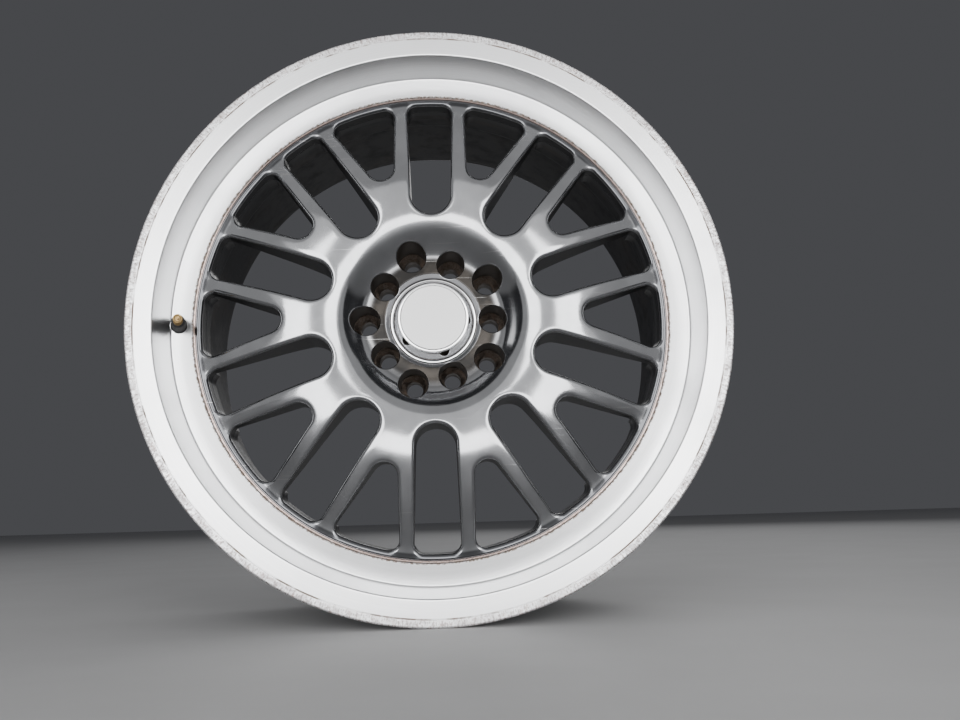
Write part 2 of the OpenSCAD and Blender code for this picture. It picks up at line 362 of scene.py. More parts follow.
def cut(obj: bpy.types.Object, fill: Callable[[bmesh.types.BMesh], None], crease: float = 32.0) -> None:
    """Cuts the solids that fill() draws out of an object.

    Args:
        obj: Object to cut.
        fill: Adds closed cutting solids to a bmesh.
        crease: Edges sharper than this, in degrees, stay crisp.
    """
    bm = bmesh.new()
    fill(bm)
    bmesh.ops.recalc_face_normals(bm, faces=bm.faces)
    tool_mesh = bpy.data.meshes.new("cutter")
    bm.to_mesh(tool_mesh)
    bm.free()
    tool = put("cutter", tool_mesh)
    step = obj.modifiers.new("cut", "BOOLEAN")
    step.operation, step.solver, step.object = "DIFFERENCE", "EXACT", tool
    graph = bpy.context.evaluated_depsgraph_get()
    mesh = bpy.data.meshes.new_from_object(obj.evaluated_get(graph))
    obj.modifiers.clear()
    obj.data = mesh
    bpy.data.objects.remove(tool)
    smooth(mesh, crease)


def turned(points: Sequence[Point], angle: float) -> list[Point]:
    """An outline drawn with +Y outwards, turned so that +Y points at angle degrees from +X."""
    c, s = math.cos(math.radians(angle)), math.sin(math.radians(angle))
    return [(y * c + x * s, y * s - x * c) for x, y in points]


# ---------------------------------------------------------------- the window outlines


@dataclass(frozen=True)
class Windows:
    """Outlines of the openings between the spokes, in millimetres.

    Each is half an outline: x runs sideways from the opening's middle line, y runs outwards.
    """

    outer_r: float = 193.3
    corner_r: float = 8.0
    slot_end_r: float = 17.0
    slot_end_at: float = 105.5
    slot_half_w: float = 19.2
    nose_r: float = 11.25
    nose_at: float = 136.8
    nose_taper: float = 18.0
    pitch: float = 3.0

    def slot(self) -> list[Point]:
        """Half of a round-ended slot, from its inner end to its outer end."""
        x = self.slot_half_w - self.corner_r
        y = math.sqrt((self.outer_r - self.corner_r) ** 2 - x**2)
        turn = math.degrees(math.atan2(y, x))
        inner = arc((0, self.slot_end_at), self.slot_end_r, -90, -1.5, 20)
        corner = arc((x, y), self.corner_r, 0, turn, 12)
        outer = arc((0, 0), self.outer_r, turn, 90, 3)
        return inner[:-1] + line(inner[-1], corner[0], self.pitch) + corner + outer[1:]

    def triangle(self) -> list[Point]:
        """Half of a triangular opening, from its nose to its outer edge."""
        t = math.radians(self.nose_taper)
        way = np.array([math.sin(t), math.cos(t)])
        start = np.array([0, self.nose_at]) + (self.nose_r - self.corner_r) * np.array(
            [math.cos(t), -math.sin(t)]
        )
        reach = self.outer_r - self.corner_r
        run = -start @ way + math.sqrt((start @ way) ** 2 - start @ start + reach**2)
        x, y = start + run * way
        turn = math.degrees(math.atan2(y, x))
        nose = arc((0, self.nose_at), self.nose_r, -90, -self.nose_taper, 14)
        corner = arc((x, y), self.corner_r, -self.nose_taper, turn, 14)
        outer = arc((0, 0), self.outer_r, turn, 90, 5)
        return nose[:-1] + line(nose[-1], corner[0], self.pitch) + corner + outer[1:]

    def whole(self, half: Sequence[Point]) -> list[Point]:
        """The full closed outline of a half."""
        return list(half) + [(-x, y) for x, y in half[-2:0:-1]]


class Edge:
    """Half an opening's outline with its normals, seen from inside the metal."""

    def __init__(self, points: Sequence[Point], angle: float, width: float, drop: float) -> None:
        """Places the outline in a half sector.

        Args:
            points: Half outline, as Windows gives it, or half a pocket's circle.
            angle: Angle of its middle line in the half sector, in degrees; 0 or the last.
            width: Width of the rounded edge round it.
            drop: How far the rounded edge falls.
        """
        p = np.array(points, float)
        step = np.gradient(p, axis=0)
        step[0], step[-1] = (1, 0), (-1, 0)
        away = np.stack([step[:, 1], -step[:, 0]], axis=1)
        away[0], away[-1] = (0, -1), (0, 1)
        away /= np.linalg.norm(away, axis=1)[:, None]
        if angle:
            p[:, 0] *= -1
            away[:, 0] *= -1
            c, s = math.cos(math.radians(angle)), math.sin(math.radians(angle))
            turn = np.array([[c, -s], [s, c]])
            p, away = p @ turn, away @ turn
        self.p, self.away = p, away
        self.width, self.drop = width, drop

    def ring(self, offset: float) -> Array:
        """The outline moved into the metal by offset millimetres."""
        return self.p + offset * self.away

    def near(self, xy: Array) -> tuple[Array, Array]:
        """Distance from the outline, and the direction away from it, at each point.

        Args:
            xy: Rows of x, y in the half sector.

        Returns:
            The distances and the unit directions.
        """
        a, b = self.p[:-1], self.p[1:]
        ab = b - a
        t = np.einsum("nij,ij->ni", xy[:, None] - a, ab) / (ab**2).sum(axis=1)
        foot = a + np.clip(t, 0, 1)[..., None] * ab
        gap = xy[:, None] - foot
        dist = np.linalg.norm(gap, axis=2)
        pick = dist.argmin(axis=1)
        rows = np.arange(len(xy))
        best = dist[rows, pick]
        way = gap[rows, pick] / np.maximum(best, 1e-9)[:, None]
        return best, way

    def fall(self, s: Array) -> tuple[Array, Array]:
        """Extra depth of the rounded edge, and its rate of change, s millimetres into the metal."""
        u = np.clip(1 - np.asarray(s, float) / self.width, 0, 0.9995)
        root = np.sqrt(1 - u**2)
        return self.drop * (1 - root), -self.drop * u / root / self.width


# ---------------------------------------------------------------- the spoked centre


@dataclass
class HalfSector:
    """One side of the spoked centre, over a sector between two middle lines.

    Attributes:
        side: -1 for the street side, +1 for the brake side.
        inner: Inner radius.
        outer: Outer radius.
        angle: Angle of the half sector, in degrees.
        surface: Gives depth and slope at a radius.
        low: Openings on the line at 0 degrees.
        high: Openings on the line at the far angle.
        crown: Extra depth that the face loses towards the openings.
        pitch: Spacing of the inner points.
        holes: (x, y, radius) of round holes inside the sector.
    """

    side: int
    inner: float
    outer: float
    angle: float
    surface: Callable[[Array], tuple[Array, Array]]
    low: list[Edge]
    high: list[Edge]
    crown: float = 0.0
    crown_width: float = 6.0
    pitch: float = 2.5
    rings: tuple[float, ...] = ()
    holes: list[tuple[float, float, float]] = field(default_factory=list)
    steps: int = 6

    def heights(self, xy: Array, given: tuple[Edge, float, Array] | None = None) -> tuple[Array, Array]:
        """Places points on the surface.

        Args:
            xy: Rows of x, y.
            given: For points on an edge's ring: that edge, the offset, and the directions.

        Returns:
            Rows of x, y, depth, and their normals.
        """
        r = np.linalg.norm(xy, axis=1)
        depth, slope = self.surface(r)
        flat = slope[:, None] * xy / np.maximum(r, 1e-9)[:, None]
        fall = np.zeros(len(xy))
        for edge in self.low + self.high:
            if given and given[0] is edge:
                s, way = np.full(len(xy), given[1]), given[2]
            else:
                s, way = edge.near(xy)
            f, df = edge.fall(s)
            if self.crown:
                u = np.clip(1 - s / self.crown_width, 0, 1)
                f = f + self.crown * u**2
                df = df - 2 * self.crown * u / self.crown_width
            fall += f
            flat += df[:, None] * way
        points = np.column_stack([xy, depth - self.side * fall])
        slope_out = -self.side * flat if self.side > 0 else flat
        if self.side > 0:
            base = slope[:, None] * xy / np.maximum(r, 1e-9)[:, None]
            slope_out = -base + (flat - base)
        normals = np.column_stack([slope_out, np.full(len(xy), float(self.side))])
        return points, normals

    def build(self, solid: Solid) -> dict[int, tuple[Array, Edge]]:
        """Adds the surface to a mesh.

        Args:
            solid: Mesh to add to.

        Returns:
            For each opening's edge, the rim points that its wall starts from.
        """
        rims = {}
        for edge in self.low + self.high:
            rows, norms, tints = [], [], []
            for k in range(self.steps + 1):
                t = math.sin(math.pi / 2 * k / self.steps)
                s = edge.width * (1 - t)
                p, n = self.heights(edge.ring(s), (edge, s, edge.away))
                if k == self.steps:
                    n = np.column_stack([-edge.away, np.zeros(len(n))])
                rows.append(p)
                norms.append(n)
                tints.append(k / self.steps)
            solid.strip(rows, norms, tints)
            rims[id(edge)] = (rows[-1], edge)
        loop = self.boundary()
        inside = self.grid(loop)
        circles, segments = [], []
        for x, y, radius in self.holes:
            count = max(16, round(radius * 4))
            a = ring_angles(count)
            base = len(loop) + len(inside) + sum(len(c) for c in circles)
            circles.append(np.column_stack([x + radius * np.cos(a), y + radius * np.sin(a)]))
            segments += [(base + i, base + (i + 1) % count) for i in range(count)]
        cloud = np.concatenate([loop, inside, *circles]) if circles else np.concatenate([loop, inside])
        borders = [(i, (i + 1) % len(loop)) for i in range(len(loop))] + segments
        found = delaunay_2d_cdt([Vector(p) for p in cloud], borders, [], 1, 1e-5)
        xy = np.array([tuple(v) for v in found[0]])
        faces = []
        for f in found[2]:
            middle = xy[list(f)].mean(axis=0)
            if all(math.dist(middle, (x, y)) > radius * 0.98 for x, y, radius in self.holes):
                faces.append(tuple(f))
        points, normals = self.heights(xy)
        solid.add(points, normals, faces)
        return rims

    def boundary(self) -> Array:
        """The closed loop round the part of the half sector that has no opening or rounded edge."""
        c, s = math.cos(math.radians(self.angle)), math.sin(math.radians(self.angle))
        count = round(self.angle)
        inner = arc((0, 0), self.inner, 90, 90 - self.angle, count)
        outer = arc((0, 0), self.outer, 90, 90 - self.angle, count)
        up: list[Point] = []
        at = self.inner
        for edge in self.low:
            ring = edge.ring(edge.width)
            up += line((0, at), (0, ring[0][1]), self.pitch) + [tuple(p) for p in ring[:-1]]
            at = ring[-1][1]
        up += line((0, at), (0, self.outer), self.pitch)
        down: list[Point] = []
        at = self.inner
        for edge in self.high:
            ring = edge.ring(edge.width)
            start = float(np.linalg.norm(ring[0]))
            down += line((s * at, c * at), (s * start, c * start), self.pitch)
            down += [tuple(p) for p in ring[:-1]]
            at = float(np.linalg.norm(ring[-1]))
        down += line((s * at, c * at), (s * self.outer, c * self.outer), self.pitch)
        loop = up + outer[:-1] + [outer[-1]] + down[:0:-1] + inner[:0:-1]
        return np.array(loop)

    def grid(self, loop: Array) -> Array:
        """Points spread over the inside of the half sector, clear of its edges.

        Args:
            loop: The closed loop that boundary() gives.

        Returns:
            Rows of x, y.
        """
        radii = np.arange(self.inner + self.pitch, self.outer - self.pitch * 0.4, self.pitch)
        radii = np.array([r for r in radii if all(abs(r - q) > self.pitch * 0.4 for q in self.rings)])
        radii = np.sort(np.concatenate([radii, [q for q in self.rings]]))
        found = []
        for i, r in enumerate(radii):
            count = max(4, round(math.radians(self.angle) * r / self.pitch))
            shift = 0.5 if i % 2 else 1.0
            a = (np.arange(count) + shift) * self.angle / count
            a = a[(a > 0.01) & (a < self.angle - 0.01)]
            a = np.radians(90 - a)
            found.append(np.column_stack([r * np.cos(a), r * np.sin(a)]))
        xy = np.concatenate(found)
        clear = np.ones(len(xy), bool)
        for edge in self.low + self.high:
            s, way = edge.near(xy)
            foot_in = self.inside(edge, xy)
            clear &= (s > edge.width + self.pitch * 0.35) & ~foot_in
        for x, y, radius in self.holes:
            clear &= np.hypot(xy[:, 0] - x, xy[:, 1] - y) > radius + self.pitch * 0.35
        gap = np.linalg.norm(xy[:, None] - loop[None], axis=2).min(axis=1)
        return xy[clear & (gap > self.pitch * 0.4)]

    def inside(self, edge: Edge, xy: Array) -> Array:
        """Whether each point lies in the opening behind an edge.

        Args:
            edge: The opening's edge.
            xy: Rows of x, y.

        Returns:
            One truth value for each point.
        """
        x, y = xy[:, 0], xy[:, 1]
        p = edge.p
        found = np.zeros(len(xy), bool)
        for (x0, y0), (x1, y1) in zip(p, np.roll(p, -1, axis=0)):
            if y0 == y1:
                continue
            crosses = ((y0 > y) != (y1 > y)) & (x < (x1 - x0) * (y - y0) / (y1 - y0) + x0)
            found ^= crosses
        return found


def circle_edge(at: float, radius: float, angle: float, width: float, drop: float) -> Edge:
    """Half a round pocket's edge, centred at a radius on one of a half sector's lines."""
    return Edge(arc((0, at), radius, -90, 90, 36), angle, width, drop)


@dataclass
class WheelCentre:
    """The forged and polished centre: hub pad, bowl, ten Y spokes and the locating ring."""

    bore_r: float = 36.55
    cap_recess_r: float = 36.6
    cap_bore_r: float = 33.5
    cap_seat: float = 33.0
    cap_bore_end: float = 48.0
    pad_edge_r: float = 40.6
    hub_face: float = 81.625
    split_r: float = 80.0
    ring_r: float = 197.0
    outer_r: float = 200.6
    rear_depth: float = 40.0
    wide_at: float = 57.15
    narrow_at: float = 50.0
    wide_r: float = 12.5
    narrow_r: float = 11.8
    stud_r: float = 7.25
    pocket_floor: float = 72.0
    windows: Windows = Windows()

    def street(self, r: Array) -> tuple[Array, Array]:
        """Depth and slope of the street side: chamfer, pad, bowl wall, crest, spokes."""
        depth, slope = STREET_SIDE(r)
        k = 0.22
        u = (self.pad_edge_r - np.asarray(r)) / k
        soft = np.where(u > 30, u, np.log1p(np.exp(np.minimum(u, 30))))
        push = 1 / (1 + np.exp(-np.clip(u, -30, 30)))
        return depth + 0.9 * k * soft, slope - 0.9 * push

    def brake(self, r: Array) -> tuple[Array, Array]:
        """Depth and slope of the brake side: hub face, its rounded shoulder, the spokes' backs."""
        return BRAKE_SIDE(r)

    def build(self) -> bpy.types.Object:
        """Builds the whole centre as one closed mesh.

        Returns:
            The object.
        """
        w = self.windows
        spokes, hub = Solid(), Solid()
        slot = Edge(w.slot(), 0, 3.2, 2.0)
        triangle = Edge(w.triangle(), 18, 3.2, 2.0)
        front = HalfSector(
            -1, self.split_r, self.ring_r, 18, self.street, [slot], [triangle], crown=0.5
        ).build(spokes)
        slot_back = Edge(w.slot(), 0, 0.9, 0.9)
        triangle_back = Edge(w.triangle(), 18, 0.9, 0.9)
        back = HalfSector(
            1, self.split_r, self.outer_r - 0.6, 18, self.brake, [slot_back], [triangle_back],
            pitch=3.4, steps=3, holes=[self.insert_hole()],
        ).build(spokes)
        for a, b in ((slot, slot_back), (triangle, triangle_back)):
            self.wall(spokes, front[id(a)][0], back[id(b)][0], a.away)
        self.bolt_hole(spokes)
        self.ring(spokes)

        wide = circle_edge(self.wide_at, self.wide_r, 0, 0.7, 0.7)
        narrow = circle_edge(self.narrow_at, self.narrow_r, 36, 0.7, 0.7)
        front = HalfSector(
            -1, self.cap_recess_r, self.split_r, 36, self.street, [wide], [narrow],
            pitch=1.7, rings=(39.6, 40.3, 40.6, 40.9, 41.5), steps=4,
        ).build(hub)
        wide_back = circle_edge(self.wide_at, self.stud_r, 0, 0.5, 0.5)
        narrow_back = circle_edge(self.narrow_at, self.stud_r, 36, 0.5, 0.5)
        back = HalfSector(
            1, self.bore_r + 1.5, self.split_r, 36, self.brake, [wide_back], [narrow_back],
            pitch=2.6, rings=(73.4, 74.2, 74.9, 75.8), steps=3,
        ).build(hub)
        for a, b, radius in ((wide, wide_back, self.wide_r), (narrow, narrow_back, self.narrow_r)):
            self.pocket(hub, front[id(a)][0], back[id(b)][0], a, radius)
        self.bore(hub)

        whole = spokes.copies([90 + 36 * k for k in range(10)])
        whole.extend(hub.copies([180 + 72 * k for k in range(5)]))
        return whole.finish("centre_forging")

    def wall(self, solid: Solid, top: Array, bottom: Array, away: Array) -> None:
        """Adds the side wall of a window.

        Args:
            solid: Mesh to add to.
            top: Rim points on the street side.
            bottom: Rim points on the brake side.
            away: Directions from the window into the metal.
        """
        steps = (0, 0.03, 0.08, 0.3, 0.6, 1)
        rows = [top * (1 - t) + bottom * t for t in steps]
        normals = np.column_stack([-away, np.zeros(len(away))])
        solid.strip(rows, [normals] * len(rows), [1, 1.6, 2, 2, 2, 2])

    def pocket(self, solid: Solid, top: Array, bottom: Array, edge: Edge, radius: float) -> None:
        """Adds a lug hole's pocket: its straight wall, its floor and the stud hole.

        Args:
            solid: Mesh to add to.
            top: Rim points on the street side.
            bottom: Rim points of the stud hole on the brake side.
            edge: The pocket's edge.
            radius: The pocket's radius.
        """
        side = np.column_stack([-edge.away, np.zeros(len(edge.away))])
        up = np.tile([0, 0, -1.0], (len(side), 1))
        floor_out = np.column_stack([edge.p, np.full(len(edge.p), self.pocket_floor)])
        floor_in = np.column_stack(
            [edge.ring(self.stud_r - radius), np.full(len(edge.p), self.pocket_floor)]
        )
        high = top * 0.9 + floor_out * 0.1
        solid.strip([top, high, floor_out], [side] * 3, [1, 3, 3])
        solid.strip([floor_out, floor_in], [up] * 2, [3, 3])
        solid.strip([floor_in, bottom], [side] * 2, [3, 3])

    def revolve(self, solid: Solid, profile: Sequence[Point], angle: int, tint: float) -> None:
        """Adds a turned stretch of surface over a half sector, each step with its own flat normal.

        Args:
            solid: Mesh to add to.
            profile: (radius, depth) points, with the metal on the left of their direction.
            angle: Angle of the half sector.
            tint: Finish number.
        """
        way = np.radians(90 - np.arange(angle + 1))
        cos, sin = np.cos(way), np.sin(way)
        for (r0, d0), (r1, d1) in zip(profile, profile[1:]):
            rows = [np.column_stack([r * cos, r * sin, np.full(len(way), d)]) for r, d in ((r0, d0), (r1, d1))]
            n = np.array([d1 - d0, -(r1 - r0)]) / math.dist((r0, d0), (r1, d1))
            normal = np.column_stack([n[0] * cos, n[0] * sin, np.full(len(way), n[1])])
            solid.strip(rows, [normal, normal], [tint, tint])

    def bore(self, solid: Solid) -> None:
        """Adds the cap's recess, its seat, the cap bore and the hub bore."""
        top, _ = self.street(np.array([self.cap_recess_r]))
        self.revolve(
            solid,
            [
                (self.bore_r + 1.5, self.hub_face), (self.bore_r, self.hub_face - 1.5),
                (self.bore_r, self.cap_bore_end), (self.cap_bore_r, self.cap_bore_end),
                (self.cap_bore_r, self.cap_seat), (self.cap_recess_r, self.cap_seat),
                (self.cap_recess_r, float(top[0])),
            ],
            36, 2,
        )

    def ring(self, solid: Solid) -> None:
        """Adds the locating ring's face, with the fine groove next to the seam, and its edge."""
        start = float(self.street(np.array([self.ring_r]))[0][0])
        self.revolve(
            solid,
            [
                (self.ring_r, start), (self.ring_r + 0.5, start + 0.1), (self.ring_r + 0.9, start + 0.7),
                (self.ring_r + 1.5, start + 0.7), (self.ring_r + 1.9, start), (self.outer_r - 0.4, start),
                (self.outer_r, start + 0.4), (self.outer_r, self.rear_depth - 0.6),
                (self.outer_r - 0.6, self.rear_depth),
            ],
            18, 0,
        )

    def insert_hole(self) -> tuple[float, float, float]:
        """Place and radius of the thread insert's hole in a half sector."""
        a = math.radians(90 - 7.9)
        return 195 * math.cos(a), 195 * math.sin(a), 4.4

    def bolt_hole(self, solid: Solid) -> None:
        """Adds the walls and floor of the thread insert's hole."""
        x, y, radius = self.insert_hole()
        a = ring_angles(max(16, round(radius * 4)))
        a = np.append(a, a[0])
        out = np.column_stack([np.cos(a), np.sin(a)])
        floor = 30.2
        xy = np.array([x, y]) + radius * out
        top, _ = self.brake(np.linalg.norm(xy, axis=1))
        rows = [np.column_stack([xy, top]), np.column_stack([xy, np.full(len(a), floor)])]
        side = np.column_stack([-out, np.zeros(len(a))])
        solid.strip(rows, [side, side], [2, 2])
        fan = np.vstack([rows[1][:-1], [x, y, floor]])
        n = len(fan) - 1
        solid.add(fan, np.tile([0, 0, 1.0], (n + 1, 1)), [(i, (i + 1) % n, n) for i in range(n)], 2)


STREET_SIDE = Curve([
    (30, 26.5), (40, 26.5), (46, 26.5), (51, 26.45), (56, 25.9), (61, 23.9), (66, 20.2), (71, 16.0),
    (76, 12.7), (82, 10.6), (92, 8.9), (104, 8.2), (118, 8.6), (134, 10.8), (150, 14.2), (166, 18.6),
    (180, 23.0), (188, 25.4), (194, 26.6), (200.6, 26.9),
])
BRAKE_SIDE = Curve([
    (30, 81.625), (50, 81.625), (66, 81.625), (73, 81.62), (75, 81.2), (77, 79.8), (82, 75.0),
    (92, 65.4), (108, 55.0), (134, 47.5), (165, 43.5), (184, 40.6), (191, 40.0), (196, 40.0), (200.6, 40.0),
])


# ---------------------------------------------------------------- the rim halves


@dataclass
class RimHalves:
    """The polished outer half and the black inner half of the rim, in millimetres."""

    flange_r: float = 248.3
    bead_r: float = 231.0
    flange_w: float = 12.5
    lip_r: float = 226.3
    foot_r: float = 219.6
    step: float = 28.7
    bore_r: float = 200.85
    web_r: float = 188.2
    well_r: float = 207.5
    bolt_at: float = 195.0
    bolt_turn: float = 7.9
    bolt_hole_r: float = 3.65
    windows: Windows = Windows()

    def flange(self, at: float, toward: int) -> list[Point]:
        """The tyre side of a flange, from its tip to its bead seat.

        Args:
            at: Depth of the flange's outer edge.
            toward: +1 where depth runs from the edge to the bead seat, -1 at the far end.

        Returns:
            (radius, depth) points.
        """
        tip = arc((self.flange_r - 9.5, 3), 9.5, 0, 90, 14)
        fillet = arc((self.bead_r + 6.5, self.flange_w + 6.5), 6.5, -90, -180, 10)
        seat = [
            (self.bead_r - 1.5, 32), (self.bead_r - 1.1, 32.6), (self.bead_r - 0.5, 33.2),
            (self.bead_r - 0.4, 34.2),
        ]
        return [(r, at + toward * d) for r, d in tip + fillet + seat]

    def outer_half(self) -> bpy.types.Object:
        """Builds the outer half: scuffed edge, flat lip, step wall, flat ring and flange.

        Returns:
            The object.
        """
        wall_a = math.degrees(math.atan2(self.lip_r - self.foot_r, self.step))
        street = (
            [(self.bore_r, 27.3), (self.bore_r + 0.5, 26.8)]
            + arc((self.foot_r - 1.6, self.step - 1.6), 1.6, 90, wall_a, 8)
            + arc((self.lip_r + 1.2, 1.5), 1.5, 180 + wall_a, 270, 8)
            + [
                (self.flange_r - 7.5, 0), (self.flange_r - 7.2, 0.45), (self.flange_r - 6.8, 0.45),
                (self.flange_r - 6.5, 0),
            ]
            + arc((self.flange_r - 1.6, 1.7), 1.65, 270, 350, 6)
        )
        tyre = (
            self.flange(0, 1)
            + [(self.bead_r - 1.0, 35.6), (self.bead_r - 2.6, 36.5)]
            + arc((self.well_r + 3, 39.5), 3, -90, -180, 8)
        )
        web = [(self.well_r, 47), (self.web_r, 47), (self.web_r, 40), (self.bore_r, 40)]
        half = lathe("outer_half", street + tyre + web)
        cut(half, self.outer_cuts)
        return half

    def holes(self, bm: bmesh.types.BMesh, low: float, high: float) -> None:
        """Draws the window relief and the bolt holes of a flange.

        Args:
            bm: Mesh of the cutting solids.
            low: Depth where they start.
            high: Depth where they end.
        """
        w = self.windows
        for k in range(10):
            prism(bm, turned(w.whole(w.slot()), 90 + 36 * k), low, high)
            prism(bm, turned(w.whole(w.triangle()), 108 + 36 * k), low, high)
            for side in (-self.bolt_turn, self.bolt_turn):
                hole = turned(arc((0, self.bolt_at), self.bolt_hole_r, 0, 345, 23), 90 + 36 * k + side)
                prism(bm, hole, low, high)

    def outer_cuts(self, bm: bmesh.types.BMesh) -> None:
        """Draws what is cut from the outer half: its flange's holes and the valve's hole."""
        self.holes(bm, 38, 49)
        TyreValve().hole(bm)

    def inner_half(self) -> bpy.types.Object:
        """Builds the inner half: bolted flange, drop centre, barrel, bead seat and rear flange.

        Returns:
            The object.
        """
        end = 2 * HALF_WIDTH
        bead = end - self.flange_w
        tyre = (
            [(self.well_r, 47)]
            + [(self.well_r, 86), (self.well_r + 0.5, 88.2), (219 - 1.5, 101.5), (219, 105)]
            + [(219, end - 53), (219.4, end - 51)]
            + [(self.bead_r - 1.4, end - 36.2)]
            + self.flange(end, -1)[::-1]
        )
        brake = (
            [(self.flange_r, end - 1), (self.flange_r - 0.3, end - 0.3), (self.flange_r - 1, end)]
            + [(self.flange_r - 3.8, end), (self.flange_r - 4.7, end - 0.3), (self.flange_r - 5, end - 1)]
            + arc((self.flange_r - 9.5, bead + 9.5), 4.5, 0, -90, 8)
            + arc((self.bead_r + 6.5, bead - 6.5), 11.5, 90, 180, 12)
            + [(self.bead_r - 5, end - 34), (self.bead_r - 5.6, end - 37), (214.2, end - 49), (213.8, end - 52)]
            + [(213.2, 108), (212.6, 104.5), (203.1, 90.5), (202.5, 88)]
            + [(202.5, 55.5), (202.1, 54.4), (201.0, 54)]
        )
        half = lathe("inner_half", tyre + brake + [(self.web_r, 54), (self.web_r, 47)])
        cut(half, lambda bm: self.holes(bm, 45, 56))
        return half


# ---------------------------------------------------------------- the centre cap


@dataclass
class CentreCap:
    """The pull-off cap: chrome shell with clip legs, and its plain white disc."""

    disc_r: float = 27.0
    front: float = 16.0
    seat: float = 33.0
    leg_r: float = 33.44
    leg_end: float = 46.5

    def shell(self) -> bpy.types.Object:
        """Builds the chrome shell: base ring, bead, slanted side, front ridge and six legs.

        Returns:
            The object.
        """
        base = (
            [(36.2, self.seat)]
            + arc((35.5, 30.5), 0.7, 0, -90, 6)
            + [(35.0, 29.8), (34.75, 29.7), (34.5, 29.4)]
        )
        side = [(34.3, 28.9), (29.7, 17.4)] + arc((28.75, 17.15), 0.95, -15, -80, 6)
        ridge = arc((28.1, 16.75), 0.7, -90, -170, 6) + [(27.2, 16.9), (27.1, 17.1), (27.1, 17.6), (0, 17.6)]
        inside = [(0, 20), (26.7, 20), (27.4, 20.6), (30.5, 28.4), (30.8, self.seat)]
        shell = lathe("cap_chrome", base + side + ridge + inside, 240)
        bm = bmesh.new()
        bm.from_mesh(shell.data)
        for k in range(6):
            self.leg(bm, math.radians(60 * k + 18))
        bm.to_mesh(shell.data)
        bm.free()
        smooth(shell.data, 32)
        return shell

    def leg(self, bm: bmesh.types.BMesh, middle: float) -> None:
        """Adds one curved clip leg.

        Args:
            bm: Mesh to add to.
            middle: Angle of the leg's middle, in radians.
        """
        outline = with_support([
            (self.leg_r, self.seat - 1.2), (self.leg_r, self.leg_end - 1.2), (self.leg_r - 0.3, self.leg_end - 0.5),
            (self.leg_r - 0.9, self.leg_end), (30.8, self.leg_end), (30.5, self.leg_end - 0.4),
            (30.6, self.leg_end - 1.4), (31.6, self.leg_end - 2.0), (31.6, self.seat - 1.2),
        ], inset=0.15)
        half, count = math.radians(13.7), 12
        rows = []
        for i in range(count + 1):
            a = -(middle - half + 2 * half * i / count)
            rows.append([
                bm.verts.new((r * math.cos(a) * MM, (d - HALF_WIDTH) * MM, r * math.sin(a) * MM))
                for r, d in outline
            ])
        faces = [bm.faces.new(rows[0]), bm.faces.new(rows[-1][::-1])]
        for here, there in zip(rows, rows[1:]):
            for k in range(len(outline)):
                m = (k + 1) % len(outline)
                faces.append(bm.faces.new((here[k], there[k], there[m], here[m])))
        bmesh.ops.recalc_face_normals(bm, faces=faces)

    def disc(self) -> bpy.types.Object:
        """Builds the white disc, very slightly domed, with a rounded edge.

        Returns:
            The object.
        """
        dome = [(self.disc_r * k / 12 * 0.98, self.front - 0.12 * (1 - (k / 12) ** 2)) for k in range(13)]
        edge = arc((self.disc_r - 0.35, self.front + 0.36), 0.35, -80, 0, 4)
        return lathe("cap_white_disc", dome + edge + [(self.disc_r, 17.0), (0, 17.0)], 192)


# ---------------------------------------------------------------- the tyre valve


